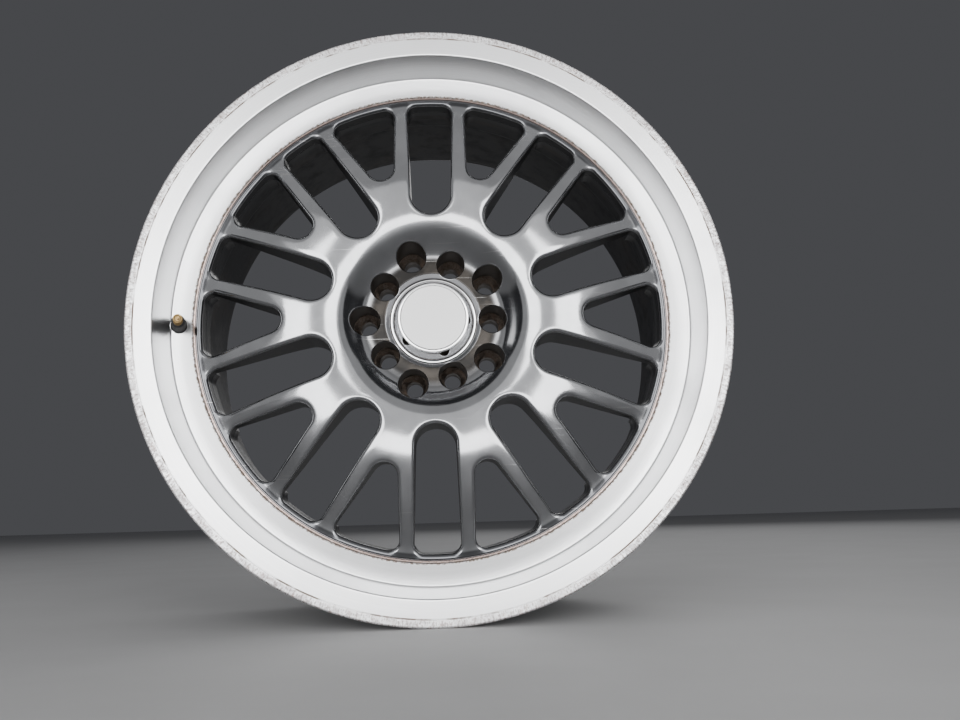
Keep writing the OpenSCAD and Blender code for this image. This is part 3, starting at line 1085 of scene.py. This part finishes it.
@dataclass
class TyreValve:
    """The snap-in valve: rubber body and threaded brass stem, along its own leaning axis."""

    at_r: float = 212.5
    base_depth: float = 28.1
    lean: float = 14.0
    length: float = 27.8
    rubber_top: float = 18.2
    stem_r: float = 3.85
    thread_pitch: float = 0.794

    def place(self, r: float, angle: float, z: float) -> tuple[float, float, float]:
        """A point given round the valve's own axis, in metres in the row's frame.

        Args:
            r: Distance from the valve's axis, in millimetres.
            angle: Angle about it, in radians.
            z: Distance along it from the flat ring towards the tip.

        Returns:
            The point.
        """
        lean = math.radians(self.lean)
        x, y = r * math.cos(angle), r * math.sin(angle)
        across, along = x * math.cos(lean), -x * -math.sin(lean)
        px = -self.at_r + across + z * math.sin(lean)
        pd = self.base_depth + along - z * math.cos(lean)
        return px * MM, (pd - HALF_WIDTH) * MM, y * MM

    def turn(self, name: str, rows: Callable[[float], list[Point]], count: int, crease: float) -> bpy.types.Object:
        """Builds a closed solid round the valve's axis.

        Args:
            name: Name of the new object.
            rows: Gives the closed (radius, z) outline at an angle in radians.
            count: Number of steps round the axis.
            crease: Edges sharper than this, in degrees, stay crisp.

        Returns:
            The object.
        """
        bm = bmesh.new()
        rings = [[bm.verts.new(self.place(r, a, z)) for r, z in rows(a)] for a in ring_angles(count)]
        for i in range(count):
            here, there = rings[i], rings[(i + 1) % count]
            for k in range(len(here)):
                m = (k + 1) % len(here)
                bm.faces.new((here[k], here[m], there[m], there[k]))
        bmesh.ops.recalc_face_normals(bm, faces=bm.faces)
        mesh = bpy.data.meshes.new(name)
        bm.to_mesh(mesh)
        bm.free()
        smooth(mesh, crease)
        return put(name, mesh)

    def hole(self, bm: bmesh.types.BMesh) -> None:
        """Draws the stepped hole that the valve sits in, as a cutting solid.

        Args:
            bm: Mesh of the cutting solids.
        """
        steps = ((8.0, -19.0), (8.0, -7.2), (6.05, -7.2), (6.05, -1.6), (7.15, -1.6), (7.15, 12.0))
        count = 48
        rings = [[bm.verts.new(self.place(r, a, z)) for a in ring_angles(count)] for r, z in steps]
        faces = [bm.faces.new(rings[0]), bm.faces.new(rings[-1][::-1])]
        for low, high in zip(rings, rings[1:]):
            for i in range(count):
                k = (i + 1) % count
                faces.append(bm.faces.new((low[i], low[k], high[k], high[i])))
        bmesh.ops.recalc_face_normals(bm, faces=faces)

    def rubber(self) -> bpy.types.Object:
        """Builds the rubber body, with its moulded foot, ribs and slightly swollen neck.

        Returns:
            The object.
        """
        outline = with_support(
            [(3.12, -13.5), (4.9, -13.5), (5.5, -13.2), (7.0, -12.0), (7.2, -11.5)]
            + [(7.2, -8), (6.9, -7.25), (5.8, -7.2)]
            + [(5.75, -6.9), (5.75, -1.9), (5.9, -1.6), (6.6, -1.58)]
            + arc((6.3, 0.4), 0.5, -40, 60, 5)
            + [(6.4, 1.6), (6.35, 2.2), (6.0, 2.6), (5.9, 3.2), (5.75, 8), (5.6, 12), (5.45, 15.6)]
            + arc((4.5, 16.6), 0.95, 0, 70, 5)
            + [(4.3, self.rubber_top - 0.25), (3.6, self.rubber_top), (3.12, self.rubber_top)],
            inset=0.12,
        )
        return self.turn("valve_rubber_body", lambda a: outline, 96, 40)

    def stem(self) -> bpy.types.Object:
        """Builds the brass stem, with a real helical thread round its tip.

        Returns:
            The object.
        """
        low, high = self.rubber_top - 0.1, self.length

        def rows(angle: float) -> list[Point]:
            """The stem's outline at one angle, which the thread shifts along the axis."""
            out = [(1.5, -13.5), (3.1, -13.5), (3.1, low)]
            steps = 96
            for k in range(steps + 1):
                z = low + 0.05 + (high - 0.35 - low) * k / steps
                phase = (z / self.thread_pitch - angle / (2 * math.pi)) % 1
                groove = 0.42 * (1 - abs(2 * phase - 1)) ** 1.2
                ends = min(1.0, (z - low) / 0.6, (high - 0.3 - z) / 0.5)
                out.append((self.stem_r - groove * max(0.0, ends), z))
            out += [(self.stem_r - 0.15, high - 0.15), (self.stem_r - 0.45, high), (2.95, high), (2.65, high - 0.25)]
            return out + [(2.65, 12), (2.2, 11.4), (2.2, 2), (1.5, 1)]

        return self.turn("valve_brass_stem", rows, 72, 50)


# ---------------------------------------------------------------- steel lug seats


@dataclass
class LugSeats:
    """Steel cone seats pressed into the lug pockets."""

    top: float = 56.5
    floor: float = 72.0
    stud_r: float = 7.25

    def build(self, name: str, radius: float, at: float, first: float) -> bpy.types.Object:
        """Builds the five seats of one pattern.

        Args:
            name: Name of the new object.
            radius: Radius of the pockets.
            at: Radius of the pattern's circle.
            first: Angle of its first hole, in degrees.

        Returns:
            The object.
        """
        lip = radius - 0.6
        cone = self.top + 0.3 + (lip - self.stud_r) / math.tan(math.radians(30))
        outline = with_support([
            (radius, self.top + 0.5), (radius, self.floor), (self.stud_r, self.floor), (self.stud_r, cone),
            (lip, self.top + 0.3), (radius - 0.5, self.top), (radius - 0.2, self.top + 0.1),
        ], inset=0.15)
        bm = bmesh.new()
        count = 96
        for k in range(5):
            way = math.radians(first + 72 * k)
            cx, cz = at * math.cos(way), at * math.sin(way)
            rings = []
            for a in ring_angles(count):
                rings.append([
                    bm.verts.new((
                        (cx + r * math.cos(a)) * MM, (d - HALF_WIDTH) * MM, (cz + r * math.sin(a)) * MM
                    ))
                    for r, d in outline
                ])
            for i in range(count):
                here, there = rings[i], rings[(i + 1) % count]
                for m in range(len(outline)):
                    n = (m + 1) % len(outline)
                    bm.faces.new((here[m], here[n], there[n], there[m]))
        bmesh.ops.recalc_face_normals(bm, faces=bm.faces)
        mesh = bpy.data.meshes.new(name)
        bm.to_mesh(mesh)
        bm.free()
        smooth(mesh, 35)
        return put(name, mesh)


# ---------------------------------------------------------------- finishes


class Surface(Enum):
    """How a finish is laid down, which sets what its shader draws on top of its colour."""

    DARK_CHROME = "dark chrome"
    MACHINED = "machined"
    PAINT = "paint"
    PLATED = "plated"
    CAST = "cast"
    RUBBER = "rubber"
    PRINTED = "printed"


class Shader:
    """A small builder of material nodes."""

    def __init__(self, name: str) -> None:
        """Starts a material that holds one principled shader."""
        self.material = bpy.data.materials.new(name)
        self.material.use_nodes = True
        self.tree = self.material.node_tree
        self.principled = self.tree.nodes["Principled BSDF"]
        coords = self.tree.nodes.new("ShaderNodeTexCoord")
        self.at = coords.outputs["Object"]

    def node(self, kind: str, **settings: object) -> bpy.types.Node:
        """Adds a node and sets its own properties."""
        made = self.tree.nodes.new(kind)
        for key, value in settings.items():
            setattr(made, key, value)
        return made

    def feed(self, socket: bpy.types.NodeSocket, value: object) -> None:
        """Links a socket to another's output, or sets it to a constant."""
        if isinstance(value, bpy.types.NodeSocket):
            self.tree.links.new(value, socket)
        elif isinstance(value, tuple) and len(value) == 3 and len(socket.default_value) == 4:
            socket.default_value = (*value, 1.0)
        else:
            socket.default_value = value

    def math(self, what: str, a: object, b: object = 0.0, clamp: bool = False) -> bpy.types.NodeSocket:
        """Adds a math node and gives its output."""
        made = self.node("ShaderNodeMath", operation=what, use_clamp=clamp)
        self.feed(made.inputs[0], a)
        self.feed(made.inputs[1], b)
        return made.outputs[0]

    def ramp(self, value: object, low: float, high: float,
             start: float = 0.0, end: float = 1.0) -> bpy.types.NodeSocket:
        """Maps a value from low..high to start..end, smoothly and clamped."""
        made = self.node("ShaderNodeMapRange", interpolation_type="SMOOTHSTEP")
        for socket, entry in zip(made.inputs, (value, low, high, start, end)):
            self.feed(socket, entry)
        return made.outputs[0]

    def band(self, value: object, middle: float, half: float) -> bpy.types.NodeSocket:
        """One at the middle of a band of a value, and nothing outside it."""
        gap = self.math("ABSOLUTE", self.math("SUBTRACT", value, middle))
        return self.ramp(gap, half, half * 0.4, 0.0, 1.0)

    def mix(self, fac: object, a: object, b: object) -> bpy.types.NodeSocket:
        """Mixes two colours."""
        made = self.node("ShaderNodeMix", data_type="RGBA")
        for index, entry in ((0, fac), (6, a), (7, b)):
            self.feed(made.inputs[index], entry)
        return made.outputs[2]

    def noise(self, scale: float, detail: float = 4.0,
              where: object = None, rough: float = 0.55) -> bpy.types.NodeSocket:
        """Adds a noise of so many features a metre, and gives its value."""
        made = self.node("ShaderNodeTexNoise")
        self.feed(made.inputs["Vector"], where or self.at)
        self.feed(made.inputs["Scale"], scale)
        self.feed(made.inputs["Detail"], detail)
        self.feed(made.inputs["Roughness"], rough)
        return made.outputs[0]

    def stretched(self, across: tuple[float, float, float], turn: tuple[float, float, float]) -> bpy.types.NodeSocket:
        """The object's coordinates, turned and then scaled, for streaks and scratches."""
        made = self.node("ShaderNodeMapping")
        self.feed(made.inputs["Vector"], self.at)
        made.inputs["Rotation"].default_value = turn
        made.inputs["Scale"].default_value = across
        return made.outputs[0]

    def polar(self) -> tuple[bpy.types.NodeSocket, bpy.types.NodeSocket, bpy.types.NodeSocket]:
        """Radius about the wheel's axis in millimetres, turn about it from 0 to 1, and depth in millimetres."""
        parts = self.node("ShaderNodeSeparateXYZ")
        self.feed(parts.inputs[0], self.at)
        x, y, z = parts.outputs
        square = self.math("ADD", self.math("MULTIPLY", x, x), self.math("MULTIPLY", z, z))
        radius = self.math("MULTIPLY", self.math("SQRT", square), 1000.0)
        turn = self.math("ADD", self.math("MULTIPLY", self.math("ARCTAN2", z, x), 1 / (2 * math.pi)), 0.5)
        depth = self.math("ADD", self.math("MULTIPLY", y, 1000.0), HALF_WIDTH)
        return radius, turn, depth

    def rings(
        self, radius: object, turn: object, depth: object, across: float, along: float
    ) -> bpy.types.NodeSocket:
        """Coordinates for marks that run round the axis: so many features a millimetre and a turn."""
        made = self.node("ShaderNodeCombineXYZ")
        self.feed(made.inputs[0], self.math("MULTIPLY", radius, across))
        self.feed(made.inputs[1], self.math("MULTIPLY", turn, along))
        self.feed(made.inputs[2], self.math("MULTIPLY", depth, across))
        return made.outputs[0]

    def scratches(self, seed: float, strength: float) -> bpy.types.NodeSocket:
        """Thin scratches in three directions, from 0 to strength."""
        total: object = 0.0
        for i, angle in enumerate((0.35, 1.25, 2.4)):
            where = self.stretched((9.0, 26.0, 900.0), (0.0, angle + seed, 0.0))
            line = self.ramp(self.noise(1.0, 1.0, where), 0.715, 0.75)
            patch = self.ramp(self.noise(17.0 + 6 * i, 1.0), 0.5, 0.62)
            total = self.math("MAXIMUM", total, self.math("MULTIPLY", line, patch))
        return self.math("MULTIPLY", total, strength)

    def bump(self, height: object, distance: float, strength: float = 1.0) -> None:
        """Adds a bump of a height, in metres, on top of any that is there already."""
        made = self.node("ShaderNodeBump")
        made.inputs["Strength"].default_value = strength
        made.inputs["Distance"].default_value = distance
        self.feed(made.inputs["Height"], height)
        normal = self.principled.inputs["Normal"]
        if normal.is_linked:
            self.feed(made.inputs["Normal"], normal.links[0].from_socket)
        self.feed(normal, made.outputs[0])

    def set(self, **values: object) -> None:
        """Feeds the principled shader's sockets, with spaces written as underscores."""
        for key, value in values.items():
            self.feed(self.principled.inputs[key.replace("_", " ").title()], value)


@dataclass(frozen=True)
class Finish:
    """One material of the wheel.

    Attributes:
        slot: Material slot of the record.
        surface: How it is laid down.
        colour: Main linear colour.
        second: Colour of its dirt or wear.
        roughness: Roughness of its clean surface.
        grain: Features a metre of its finest texture.
    """

    slot: str
    surface: Surface
    colour: tuple[float, float, float]
    second: tuple[float, float, float]
    roughness: float
    grain: float = 900.0

    def material(self) -> bpy.types.Material:
        """Builds the material.

        Returns:
            The material, named after its slot.
        """
        shader = Shader(self.slot)
        {
            Surface.DARK_CHROME: self.dark_chrome,
            Surface.MACHINED: self.machined,
            Surface.PAINT: self.paint,
            Surface.PLATED: self.plated,
            Surface.CAST: self.cast,
            Surface.RUBBER: self.rubber,
            Surface.PRINTED: self.printed,
        }[self.surface](shader)
        return shader.material

    def dark_chrome(self, s: Shader) -> None:
        """Dark plated metal, with a painted highlight on its rounded edges, and painted black inside the windows."""
        radius, _, _ = s.polar()
        kind = s.node("ShaderNodeAttribute", attribute_name="finish").outputs["Fac"]
        wall = s.ramp(kind, 1.25, 1.7)
        # edge: the rounded window edges, which get a painted highlight below
        edge = s.math("MULTIPLY", s.ramp(kind, 0.6, 0.9), s.math("SUBTRACT", 1.0, wall))
        pocket = s.ramp(kind, 2.2, 2.7)
        blotch = s.noise(26.0, 3.0)
        dust = s.ramp(s.noise(310.0, 6.0, rough=0.7), 0.56, 0.72)
        marks = s.scratches(0.0, 1.0)
        face = s.mix(s.ramp(blotch, 0.35, 0.7), self.colour, tuple(c * 1.18 for c in self.colour))
        hub = s.math("MULTIPLY", s.ramp(radius, 63.0, 50.0), s.math("SUBTRACT", 1.0, s.band(radius, 38.8, 2.2)))
        stain = s.mix(s.ramp(s.noise(60.0, 6.0), 0.35, 0.65), (0.012, 0.011, 0.010), (0.032, 0.028, 0.024))
        face = s.mix(s.math("MULTIPLY", hub, 0.97), face, stain)
        face = s.mix(s.ramp(radius, 192.3, 194.5, 0.0, 0.8), face, (0.022, 0.023, 0.026))
        # painted highlight: the rounded edges are mixed towards bright grey so that they read as catching the light
        face = s.mix(s.math("MULTIPLY", edge, 0.75), face, (0.72, 0.72, 0.73))
        face = s.mix(s.math("MULTIPLY", marks, 0.3), face, (0.5, 0.49, 0.48))
        grime = s.math("MULTIPLY", s.band(radius, 200.4, 1.3), s.ramp(s.noise(240.0, 5.0), 0.4, 0.58))
        face = s.mix(s.math("MULTIPLY", grime, 0.85), face, self.second)
        face = s.mix(s.math("MULTIPLY", s.band(radius, 199.3, 1.2), 0.5), face, (0.34, 0.25, 0.22))
        black = s.mix(s.ramp(s.noise(150.0, 4.0), 0.45, 0.7), (0.006, 0.006, 0.007), (0.017, 0.016, 0.015))
        bare = s.mix(blotch, (0.10, 0.09, 0.08), (0.20, 0.18, 0.165))
        rough = s.math("ADD", self.roughness, s.math("MULTIPLY", blotch, 0.06))
        rough = s.math("ADD", rough, s.math("MULTIPLY", dust, 0.05))
        rough = s.math("ADD", rough, s.math("MULTIPLY", grime, 0.35))
        rough = s.math("ADD", rough, s.math("MULTIPLY", hub, 0.08))
        rough = s.math("ADD", rough, s.math("MULTIPLY", edge, 0.3))
        rough = s.math("ADD", rough, s.math("MULTIPLY", wall, 0.3))
        s.set(
            base_color=s.mix(pocket, s.mix(wall, face, black), bare),
            metallic=s.math("SUBTRACT", 1.0, s.math("MAXIMUM", s.math("SUBTRACT", wall, pocket),
                            s.math("MULTIPLY", grime, 0.8))),
            roughness=rough,
        )
        s.bump(s.noise(self.grain, 3.0), 0.000012, 0.5)
        s.bump(marks, 0.00003, 0.4)

    def machined(self, s: Shader) -> None:
        """Turned and polished metal with lathe lines, a scuffed outer edge and dirt in its grooves."""
        radius, turn, depth = s.polar()
        lines = s.noise(1.0, 3.0, s.rings(radius, turn, depth, 5.0, 3.0))
        fine = s.noise(1.0, 1.0, s.rings(radius, turn, depth, 22.0, 9.0))
        cloud = s.noise(11.0, 3.0)
        streak = s.noise(1.0, 3.0, s.rings(radius, turn, depth, 0.3, 900.0))
        edge = s.math("MULTIPLY", s.ramp(radius, 240.8, 243.4), s.ramp(depth, 8.0, 2.5))
        scuff = s.math("MULTIPLY", edge, s.ramp(s.noise(150.0, 8.0, rough=0.8), 0.42, 0.6))
        cuts = s.math("MULTIPLY", edge, s.ramp(streak, 0.48, 0.62))
        rust = s.math("MULTIPLY", edge, s.ramp(s.noise(210.0, 6.0, rough=0.7), 0.53, 0.66))
        seam = s.math("MULTIPLY", s.band(radius, 201.0, 1.5), s.ramp(s.noise(420.0, 5.0), 0.4, 0.6))
        groove = s.math("MULTIPLY", s.band(radius, 241.5, 0.9), s.ramp(s.noise(55.0, 6.0), 0.42, 0.6))
        specks = s.ramp(s.noise(420.0, 5.0, rough=0.7), 0.69, 0.74)
        dirt = s.math("MAXIMUM", s.math("MAXIMUM", seam, groove), s.math("MULTIPLY", specks, 0.5))
        back = s.ramp(depth, 30.0, 33.0)
        face = s.mix(s.ramp(lines, 0.3, 0.7), self.colour, tuple(c * 0.9 for c in self.colour))
        face = s.mix(s.math("MULTIPLY", s.ramp(cloud, 0.5, 0.8), 0.35), face, (0.48, 0.48, 0.49))
        face = s.mix(s.math("MULTIPLY", scuff, 0.45), face, (0.36, 0.31, 0.31))
        face = s.mix(s.math("MULTIPLY", cuts, 0.6), face, (0.16, 0.11, 0.10))
        face = s.mix(s.math("MULTIPLY", rust, 0.5), face, (0.30, 0.17, 0.13))
        face = s.mix(s.math("MULTIPLY", dirt, 0.9), face, self.second)
        face = s.mix(back, face, (0.02, 0.02, 0.021))
        worn = s.math("MAXIMUM", s.math("MULTIPLY", scuff, 0.5), dirt)
        s.set(
            base_color=face,
            metallic=s.math("MULTIPLY", s.math("SUBTRACT", 1.0, s.math("MULTIPLY", worn, 0.7)),
                            s.math("SUBTRACT", 1.0, back)),
            roughness=s.math("ADD", self.roughness, s.math("ADD", s.math("MULTIPLY", cloud, 0.1),
                             s.math("MULTIPLY", worn, 0.25))),
            anisotropic=0.0,
        )
        s.bump(fine, 0.00002, 0.5)
        s.bump(cuts, 0.00012, 0.6)
        s.bump(s.math("MULTIPLY", scuff, s.noise(900.0, 4.0)), 0.0001, 0.6)

    def paint(self, s: Shader) -> None:
        """Satin paint with orange peel, dust settled on it and brown brake-side grime."""
        dust = s.ramp(s.noise(60.0, 7.0, rough=0.65), 0.42, 0.75)
        spots = s.ramp(s.noise(380.0, 5.0, rough=0.7), 0.62, 0.7)
        grime = s.math("MULTIPLY", s.ramp(s.noise(18.0, 6.0), 0.45, 0.7), 0.5)
        face = s.mix(s.math("MULTIPLY", dust, 0.5), self.colour, tuple(c * 2.2 + 0.004 for c in self.colour))
        face = s.mix(grime, face, self.second)
        face = s.mix(s.math("MULTIPLY", spots, 0.35), face, (0.12, 0.11, 0.10))
        s.set(
            base_color=face,
            metallic=0.0,
            roughness=s.math("ADD", self.roughness, s.math("MULTIPLY", dust, 0.2)),
        )
        s.bump(s.noise(self.grain, 3.0), 0.00012, 0.35)

    def plated(self, s: Shader) -> None:
        """Bright plating, with fine pits and a little haze."""
        haze = s.noise(70.0, 4.0)
        pits = s.ramp(s.noise(620.0, 4.0, rough=0.7), 0.66, 0.72)
        marks = s.scratches(0.8, 1.0)
        face = s.mix(s.math("MULTIPLY", pits, 0.6), self.colour, self.second)
        face = s.mix(s.math("MULTIPLY", marks, 0.3), face, tuple(c * 0.6 for c in self.colour))
        s.set(
            base_color=face,
            metallic=1.0,
            roughness=s.math("ADD", self.roughness, s.math("ADD", s.math("MULTIPLY", haze, 0.08),
                             s.math("MULTIPLY", pits, 0.3))),
        )
        s.bump(s.noise(self.grain, 3.0), 0.00001, 0.5)

    def cast(self, s: Shader) -> None:
        """Bare steel or brass, with rust or tarnish in patches."""
        patch = s.ramp(s.noise(130.0, 6.0, rough=0.65), 0.42, 0.66)
        fine = s.noise(self.grain, 5.0, rough=0.7)
        face = s.mix(s.math("MULTIPLY", patch, 0.8), self.colour, self.second)
        face = s.mix(s.ramp(fine, 0.35, 0.75), face, tuple(c * 0.75 for c in self.second))
        s.set(
            base_color=face,
            metallic=s.math("SUBTRACT", 1.0, s.math("MULTIPLY", patch, 0.55)),
            roughness=s.math("ADD", self.roughness, s.math("MULTIPLY", patch, 0.3)),
        )
        s.bump(fine, 0.00006, 0.5)

    def rubber(self, s: Shader) -> None:
        """Matt rubber or foam, greyed by dust."""
        dust = s.ramp(s.noise(240.0, 6.0, rough=0.7), 0.45, 0.7)
        fine = s.noise(self.grain, 4.0, rough=0.7)
        s.set(
            base_color=s.mix(s.math("MULTIPLY", dust, 0.7), self.colour, self.second),
            metallic=0.0,
            roughness=s.math("ADD", self.roughness, s.math("MULTIPLY", fine, 0.15)),
        )
        s.bump(fine, 0.00012, 0.6)

    def printed(self, s: Shader) -> None:
        """A smooth lacquered disc with faint handling marks."""
        smear = s.ramp(s.noise(45.0, 5.0), 0.45, 0.75)
        specks = s.ramp(s.noise(520.0, 5.0, rough=0.7), 0.68, 0.73)
        face = s.mix(s.math("MULTIPLY", smear, 0.3), self.colour, tuple(c * 0.93 for c in self.colour))
        s.set(
            base_color=s.mix(s.math("MULTIPLY", specks, 0.5), face, self.second),
            metallic=0.0,
            roughness=s.math("ADD", self.roughness, s.math("MULTIPLY", smear, 0.15)),
            coat_weight=1.0,
            coat_roughness=0.25,
        )
        s.bump(s.noise(self.grain, 3.0), 0.00001, 0.4)


FINISHES = (
    Finish("smoked_chrome", Surface.DARK_CHROME, (0.235, 0.238, 0.246), (0.11, 0.075, 0.05), 0.09, 700.0),
    Finish("polished_lip", Surface.MACHINED, (0.86, 0.865, 0.875), (0.16, 0.105, 0.07), 0.27),
    Finish("black_barrel", Surface.PAINT, (0.012, 0.012, 0.013), (0.045, 0.032, 0.022), 0.36, 520.0),
    Finish("bolt_steel", Surface.CAST, (0.52, 0.51, 0.49), (0.26, 0.19, 0.13), 0.30, 800.0),
    Finish("insert_steel", Surface.CAST, (0.45, 0.44, 0.42), (0.22, 0.17, 0.12), 0.34, 900.0),
    Finish("sealant", Surface.RUBBER, (0.10, 0.10, 0.105), (0.17, 0.165, 0.155), 0.55, 260.0),
    Finish("seat_steel", Surface.CAST, (0.32, 0.30, 0.28), (0.15, 0.10, 0.07), 0.34, 700.0),
    Finish("cap_chrome", Surface.PLATED, (0.86, 0.86, 0.87), (0.28, 0.24, 0.20), 0.05, 800.0),
    Finish("cap_white", Surface.PRINTED, (0.93, 0.93, 0.93), (0.45, 0.43, 0.40), 0.28, 700.0),
    Finish("foam_tape", Surface.RUBBER, (0.07, 0.07, 0.072), (0.14, 0.135, 0.13), 0.85, 900.0),
    Finish("spring_steel", Surface.CAST, (0.55, 0.55, 0.54), (0.33, 0.28, 0.22), 0.22, 900.0),
    Finish("valve_rubber", Surface.RUBBER, (0.014, 0.014, 0.0145), (0.07, 0.066, 0.06), 0.62, 1400.0),
    Finish("valve_brass", Surface.CAST, (0.55, 0.38, 0.16), (0.20, 0.13, 0.055), 0.28, 1300.0),
    Finish("core_seal", Surface.RUBBER, (0.05, 0.012, 0.01), (0.12, 0.06, 0.05), 0.6, 1500.0),
)


# ---------------------------------------------------------------- the floor, light and camera


@dataclass
class Studio:
    """A pale floor, soft light and the camera."""

    floor_z: float = -0.2484
    lens: float = 33.3075
    camera_at: tuple[float, float, float] = (0.007674, -0.831646, -0.159002)
    camera_turn: tuple[float, float, float] = (99.5716, 1.6262, -2.1218)

    def floor(self) -> bpy.types.Object:
        """Builds the floor, with a faint mottle so that it isn't one flat tone.

        Returns:
            The floor.
        """
        mesh = bpy.data.meshes.new("floor")
        w, z = 6.0, self.floor_z
        mesh.from_pydata([(-w, -w, z), (w, -w, z), (w, w, z), (-w, w, z)], [], [(0, 1, 2, 3)])
        shader = Shader("floor")
        cloud = shader.noise(9.0, 5.0)
        shader.set(base_color=shader.mix(cloud, (0.40, 0.40, 0.40), (0.47, 0.47, 0.475)), roughness=0.6)
        obj = put("floor", mesh)
        obj.data.materials.append(shader.material)
        return obj

    def light(self, name: str, at: tuple[float, float, float], aim: tuple[float, float, float],
              size: tuple[float, float], power: float) -> bpy.types.Object:
        """Adds a soft rectangular light.

        Args:
            name: Name of the light.
            at: Its place, in metres.
            aim: The point that it faces.
            size: Its width and height, in metres.
            power: Its power, in watts.

        Returns:
            The light.
        """
        data = bpy.data.lights.new(name, "AREA")
        data.shape, data.size, data.size_y, data.energy = "RECTANGLE", size[0], size[1], power
        obj = bpy.data.objects.new(name, data)
        bpy.context.scene.collection.objects.link(obj)
        obj.location = at
        obj.rotation_euler = (Vector(aim) - Vector(at)).to_track_quat("-Z", "Y").to_euler()
        obj.visible_camera = False
        return obj

    def world(self, level: float) -> None:
        """Sets an even grey surrounding of a brightness."""
        world = bpy.data.worlds.new("studio")
        world.use_nodes = True
        sky = world.node_tree.nodes["Background"]
        sky.inputs["Color"].default_value = (level, level * 1.02, level * 1.1, 1)
        bpy.context.scene.world = world

    def build(self) -> None:
        """Places the floor, the lights and the camera."""
        floor = self.floor()
        self.world(0.07)
        lights = [
            self.light("window_left", (-0.735, -2.5, 0.15), (0, 0, 0), (0.83, 1.5), 35),
            self.light("window_right", (0.69, -2.5, 0.15), (0, 0, 0), (0.83, 1.5), 35),
            self.light("window_low", (-0.025, -2.5, -0.18), (0, 0, 0), (0.59, 0.84), 14),
            self.light("front_haze", (0.0, -2.2, 0.3), (0, 0, 0), (2.7, 2.0), 16),
            self.light("room", (0.0, -2.0, 1.1), (0, 0, 0), (6.0, 3.6), 48),
            self.light("left_strip", (-2.4, -0.5, 0.5), (0, 0, 0), (0.35, 1.8), 6),
            self.light("right_strip", (2.4, -0.4, 0.3), (0, 0, 0), (0.35, 1.8), 5),
            self.light("rear_fill", (0.8, 2.4, 1.4), (0, 0, 0), (2.0, 1.2), 16),
        ]
        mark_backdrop(floor, *lights)
        camera = bpy.data.cameras.new("camera")
        camera.sensor_width, camera.lens = 36.0, self.lens
        camera.clip_start = 0.01
        obj = bpy.data.objects.new("camera", camera)
        obj.location = self.camera_at
        obj.rotation_euler = [math.radians(a) for a in self.camera_turn]
        bpy.context.scene.collection.objects.link(obj)
        bpy.context.scene.camera = obj


# ---------------------------------------------------------------- the build


def main() -> None:
    """Builds every finished piece, gives each node its material and lights the scene."""
    logging.basicConfig(level=logging.INFO, format="%(message)s")
    made = {finish.slot: finish.material() for finish in FINISHES}
    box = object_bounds()
    rim, cap, valve, seats = RimHalves(), CentreCap(), TyreValve(), LugSeats()
    plan: list[tuple[Callable[[], bpy.types.Object], str, str, str]] = [
        (WheelCentre().build, "wheel_centre", "smoked_chrome", "wheel"),
        (rim.outer_half, "outer_rim_half", "polished_lip", "wheel"),
        (rim.inner_half, "inner_rim_half", "black_barrel", "wheel"),
        (lambda: seats.build("wide_seats", 12.5, 57.15, 180), "wide_lug_seats", "seat_steel", "wheel"),
        (lambda: seats.build("narrow_seats", 11.8, 50.0, 0), "narrow_lug_seats", "seat_steel", "wheel"),
        (cap.shell, "cap_shell", "cap_chrome", "centre_cap"),
        (cap.disc, "cap_disc", "cap_white", "centre_cap"),
        (valve.rubber, "valve_rubber", "valve_rubber", "wheel"),
        (valve.stem, "valve_stem", "valve_brass", "wheel"),
    ]
    done = set()
    for build, node, slot, body in plan:
        piece = build()
        piece.data.materials.clear()
        piece.data.materials.append(made[slot])
        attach(piece, body)
        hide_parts(node)
        done.add(node)
        log.info("%s: %d faces, %s, for %s", piece.name, len(piece.data.polygons), slot, node)
    for entry in frame["record"]["subparts"]:
        node, slot = entry["node"], entry["material_slot"]
        if node not in done:
            part = frame["nodes"][node]
            part.data.materials.clear()
            part.data.materials.append(made[slot])
            log.info("%s: the frame's own shape, %s", node, slot)
    Studio().build()
    log.info("cad box %s", write_sizes(box))


def write_sizes(box: Sequence[Sequence[float]]) -> str:
    """Writes the frame's box and the finished wheel's box.

    Args:
        box: The frame's box before anything was added.

    Returns:
        Both boxes as text.
    """
    both = {"cad": [list(map(float, p)) for p in box], "visual": [list(map(float, p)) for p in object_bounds()]}
    return json.dumps(both)


if __name__ == "__main__":
    main()
